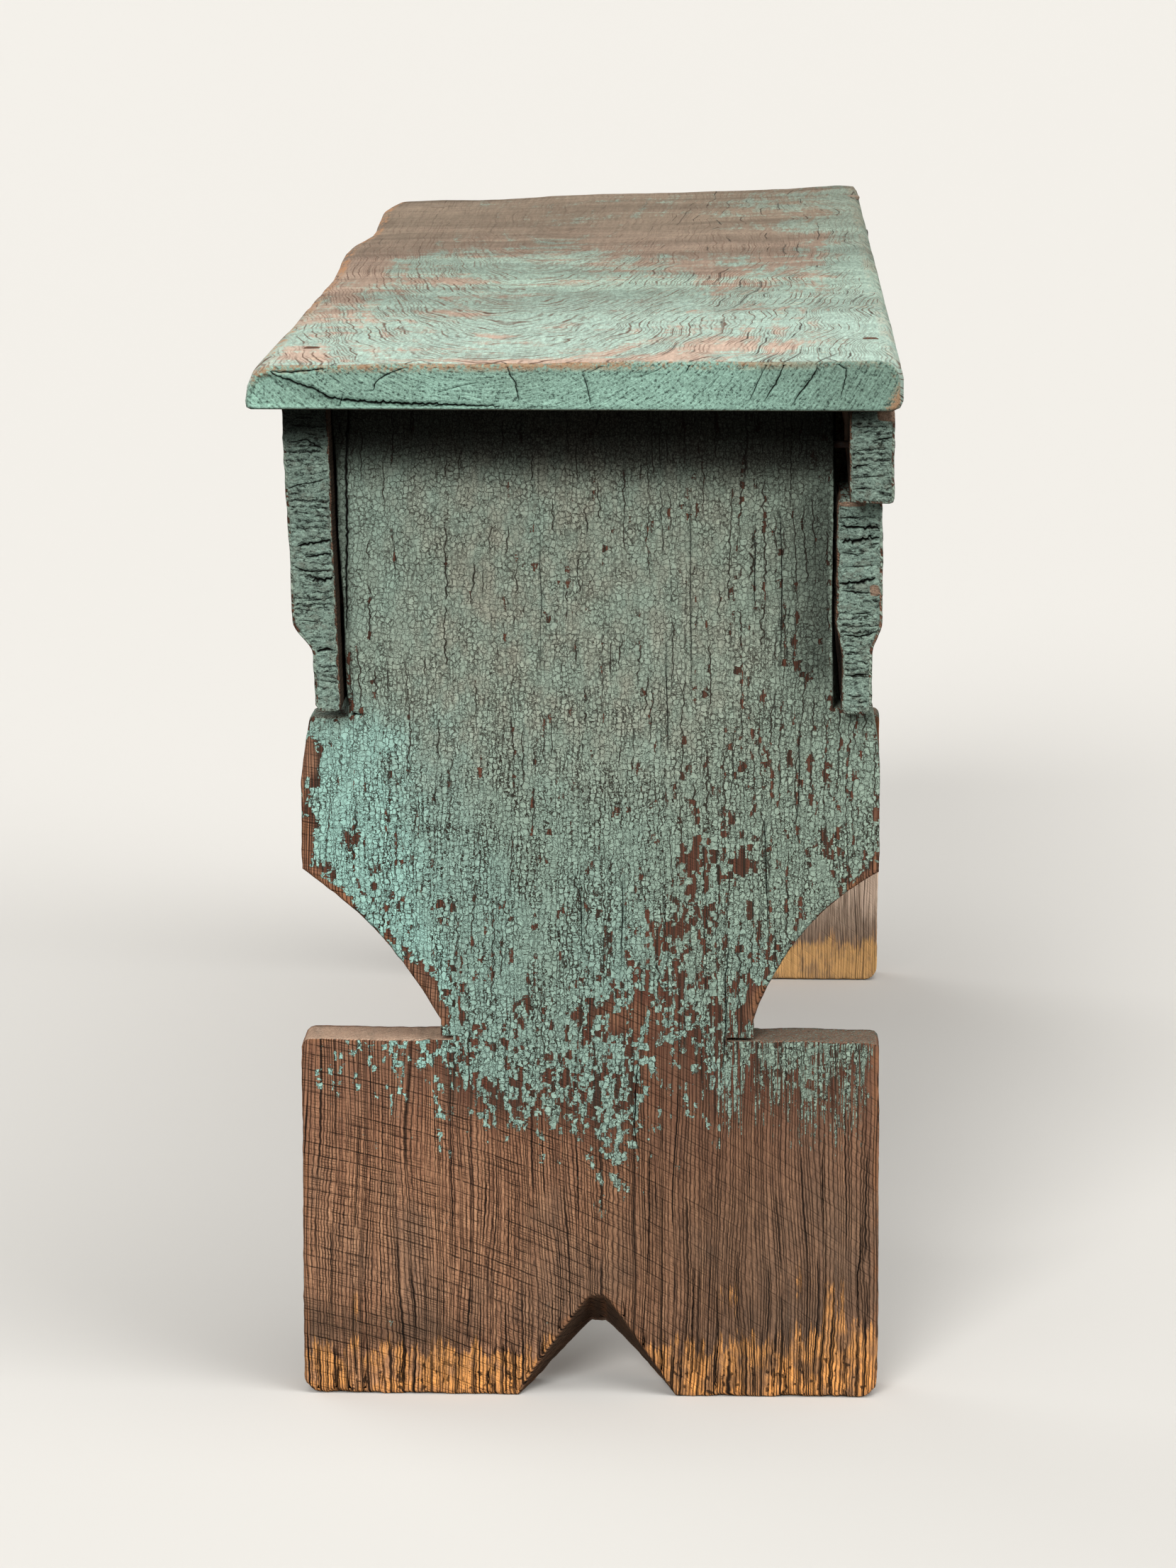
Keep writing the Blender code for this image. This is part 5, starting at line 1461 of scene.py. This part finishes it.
def addSeat(size, seed):
    farChecks = endChecks((-0.12, 0.4515), (0.12, 0.463), 2, 71, (0.9, 2.6))
    caps = [{"spacing": size["endSpacing"], "seed": seed, "cracks": farChecks},
            {"spacing": size["endSpacing"], "seed": seed + 1, "cracks": seatEndCracks}]
    board, facts = buildBoard("seatPlank", seatRings(size), caps, 12)
    place = facts["place"]
    normal = facts["normal"]
    top = smoothStep(normal[:, 2], 0.3, 0.8)
    under = smoothStep(normal[:, 2], -0.3, -0.8)
    lift = size["lift"] * noiseAt(place, (5, 16, 4), seed + 1, 2)
    lift = top * (lift + size["fineLift"] * noiseAt(place, (10, 90, 4), seed + 2, 2))
    hollow = blot(place[:, 0], place[:, 1], size["hollowMiddle"], size["hollowHalf"])
    lift = lift - top * size["hollowDeep"] * hollow
    farRear = smoothStep(place[:, 1], 0.085, 0.135) * smoothStep(place[:, 0], -0.40, -0.54)
    lift = lift + top * size["cornerRise"] * farRear
    lift = lift + (1 - under) * size["rough"] * noiseAt(place, (40, 60, 60), seed + 3, 2)
    lift = lift + (facts["zone"] > 0) * size["endRough"] * noiseAt(place, (40, 200, 420), seed + 4, 3)
    line = np.array(seatShake) / 1000
    below = np.interp(place[:, 1], line[:, 0], line[:, 1]) - place[:, 2]
    wedge = smoothStep(below, 0.0, 0.0012) * smoothStep(place[:, 1], -0.045, -0.07) * (facts["zone"] == 2)
    lift = lift - size["splinterBack"] * wedge  # the splinter under the shake stands back
    finishBoard(board, facts, lift, seatMarks(facts, size, seed), topPaint, ["seat_plank"])


addSeat(seatSizes, 81)


# cut nails: one tree sets a nail on each point, turned by the point's own angles

nailSizes = {
    "length": 0.051, "headLong": 0.0076, "headWide": 0.0052, "headHigh": 0.0022,
    "shank": 0.0042, "tip": 0.0018, "thick": 0.0030, "scale": 1.0,
    "tilt": 0.04, "sway": 0.12, "seed": 5,  # sway is the share of the random turns that is used
}


def nailShape(size):
    shape = bmesh.new()
    levels = [(0.30, 0.30, 0.0), (0.44, 0.42, -0.0004), (0.50, 0.50, -0.0010), (0.47, 0.47, -size["headHigh"])]
    loops = []
    for long, wide, up in levels:
        loops.append([(size["headLong"] * long * a, size["headWide"] * wide * b, up) for a, b in roundedBox()])
    shank, tip, thin = size["shank"] / 2, size["tip"] / 2, size["thick"] / 2
    loops.append([(shank * a, thin * b, -size["headHigh"] * 1.5) for a, b in roundedBox()])
    loops.append([(tip * a, thin * b, -size["length"]) for a, b in roundedBox()])
    rows = [[shape.verts.new(point) for point in loop] for loop in loops]
    for near, far in zip(rows, rows[1:]):
        for index in range(len(near)):
            after = (index + 1) % len(near)
            shape.faces.new((near[index], near[after], far[after], far[index]))
    shape.faces.new(rows[0])
    shape.faces.new(rows[-1])
    bmesh.ops.recalc_face_normals(shape, faces=shape.faces)
    mesh = bpy.data.meshes.new("nail_shape")
    shape.to_mesh(mesh)
    shape.free()
    return mesh


def roundedBox():
    # a unit square with its corners cut
    return [(-1, -0.7), (-0.7, -1), (0.7, -1), (1, -0.7), (1, 0.7), (0.7, 1), (-0.7, 1), (-1, 0.7)]


def nailTree(shape, material, tilt, seed):
    tree = bpy.data.node_groups.new("set_nails", "GeometryNodeTree")
    tree.interface.new_socket("Geometry", in_out="INPUT", socket_type="NodeSocketGeometry")
    scale = tree.interface.new_socket("Head Size", in_out="INPUT", socket_type="NodeSocketFloat")
    sway = tree.interface.new_socket("Sway", in_out="INPUT", socket_type="NodeSocketFloat")
    tree.interface.new_socket("Geometry", in_out="OUTPUT", socket_type="NodeSocketGeometry")
    entry = tree.nodes.new("NodeGroupInput")
    leave = tree.nodes.new("NodeGroupOutput")
    source = tree.nodes.new("GeometryNodeObjectInfo")
    source.inputs["Object"].default_value = shape
    spin = tree.nodes.new("GeometryNodeInputNamedAttribute")
    spin.data_type = "FLOAT_VECTOR"
    spin.inputs["Name"].default_value = "turn"
    chance = tree.nodes.new("FunctionNodeRandomValue")
    chance.data_type = "FLOAT_VECTOR"
    chance.inputs["Seed"].default_value = seed
    chance.inputs[0].default_value = (-tilt, -tilt, -1)
    chance.inputs[1].default_value = (tilt, tilt, 1)
    spread = tree.nodes.new("ShaderNodeVectorMath")
    spread.operation = "SCALE"
    add = tree.nodes.new("ShaderNodeVectorMath")
    place = tree.nodes.new("GeometryNodeInstanceOnPoints")
    real = tree.nodes.new("GeometryNodeRealizeInstances")
    paint = tree.nodes.new("GeometryNodeSetMaterial")
    paint.inputs["Material"].default_value = material
    link = tree.links.new
    link(entry.outputs["Geometry"], place.inputs["Points"])
    link(source.outputs["Geometry"], place.inputs["Instance"])
    link(chance.outputs[0], spread.inputs[0])
    link(entry.outputs["Sway"], spread.inputs["Scale"])
    link(spin.outputs[0], add.inputs[0])
    link(spread.outputs[0], add.inputs[1])
    link(add.outputs[0], place.inputs["Rotation"])
    link(entry.outputs["Head Size"], place.inputs["Scale"])
    link(place.outputs[0], real.inputs[0])
    link(real.outputs[0], paint.inputs["Geometry"])
    link(paint.outputs[0], leave.inputs[0])
    return tree, scale.identifier, sway.identifier


def addNails(size):
    nodes = [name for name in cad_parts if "_nail_" in name]
    points = []
    turns = []
    lean = math.radians(apronSizes["lean"])
    for name in nodes:
        low, high = (np.array(corner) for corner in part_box(name))
        middle = (low + high) / 2
        if name.startswith("seat"):
            points.append((middle[0], middle[1], high[2]))
            turns.append((0, 0, math.pi / 2))
        elif name.startswith("front"):
            reach = size["length"] / 2
            points.append((middle[0], middle[1] - reach * math.cos(lean), middle[2] - reach * math.sin(lean)))
            turns.append((math.pi / 2 + lean, 0, 0))
        else:
            points.append((middle[0], high[1], middle[2]))
            turns.append((-math.pi / 2, 0, 0))
    mesh = bpy.data.meshes.new("nail_points")
    mesh.from_pydata(points, [], [])
    layer = mesh.attributes.new("turn", "FLOAT_VECTOR", "POINT")
    layer.data.foreach_set("vector", np.array(turns, dtype=np.float32).reshape(-1))
    carrier = bpy.data.objects.new("nail_points", mesh)
    scene.collection.objects.link(carrier)
    shape = bpy.data.objects.new("nail_shape", nailShape(size))
    scene.collection.objects.link(shape)
    tree, scaleInput, swayInput = nailTree(shape, nailRust, size["tilt"], size["seed"])
    modifier = carrier.modifiers.new("set_nails", "NODES")
    modifier.node_group = tree
    modifier[scaleInput] = size["scale"]
    modifier[swayInput] = size["sway"]
    graph = bpy.context.evaluated_depsgraph_get()
    made = bpy.data.meshes.new_from_object(carrier.evaluated_get(graph))
    nails = bpy.data.objects.new("cutNails", made)
    scene.collection.objects.link(nails)
    bpy.data.objects.remove(carrier)
    bpy.data.objects.remove(shape)
    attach(nails, "root")
    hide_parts(*nodes)
    print("nails", len(nodes), "of", len(made.polygons), "faces in all")


addNails(nailSizes)
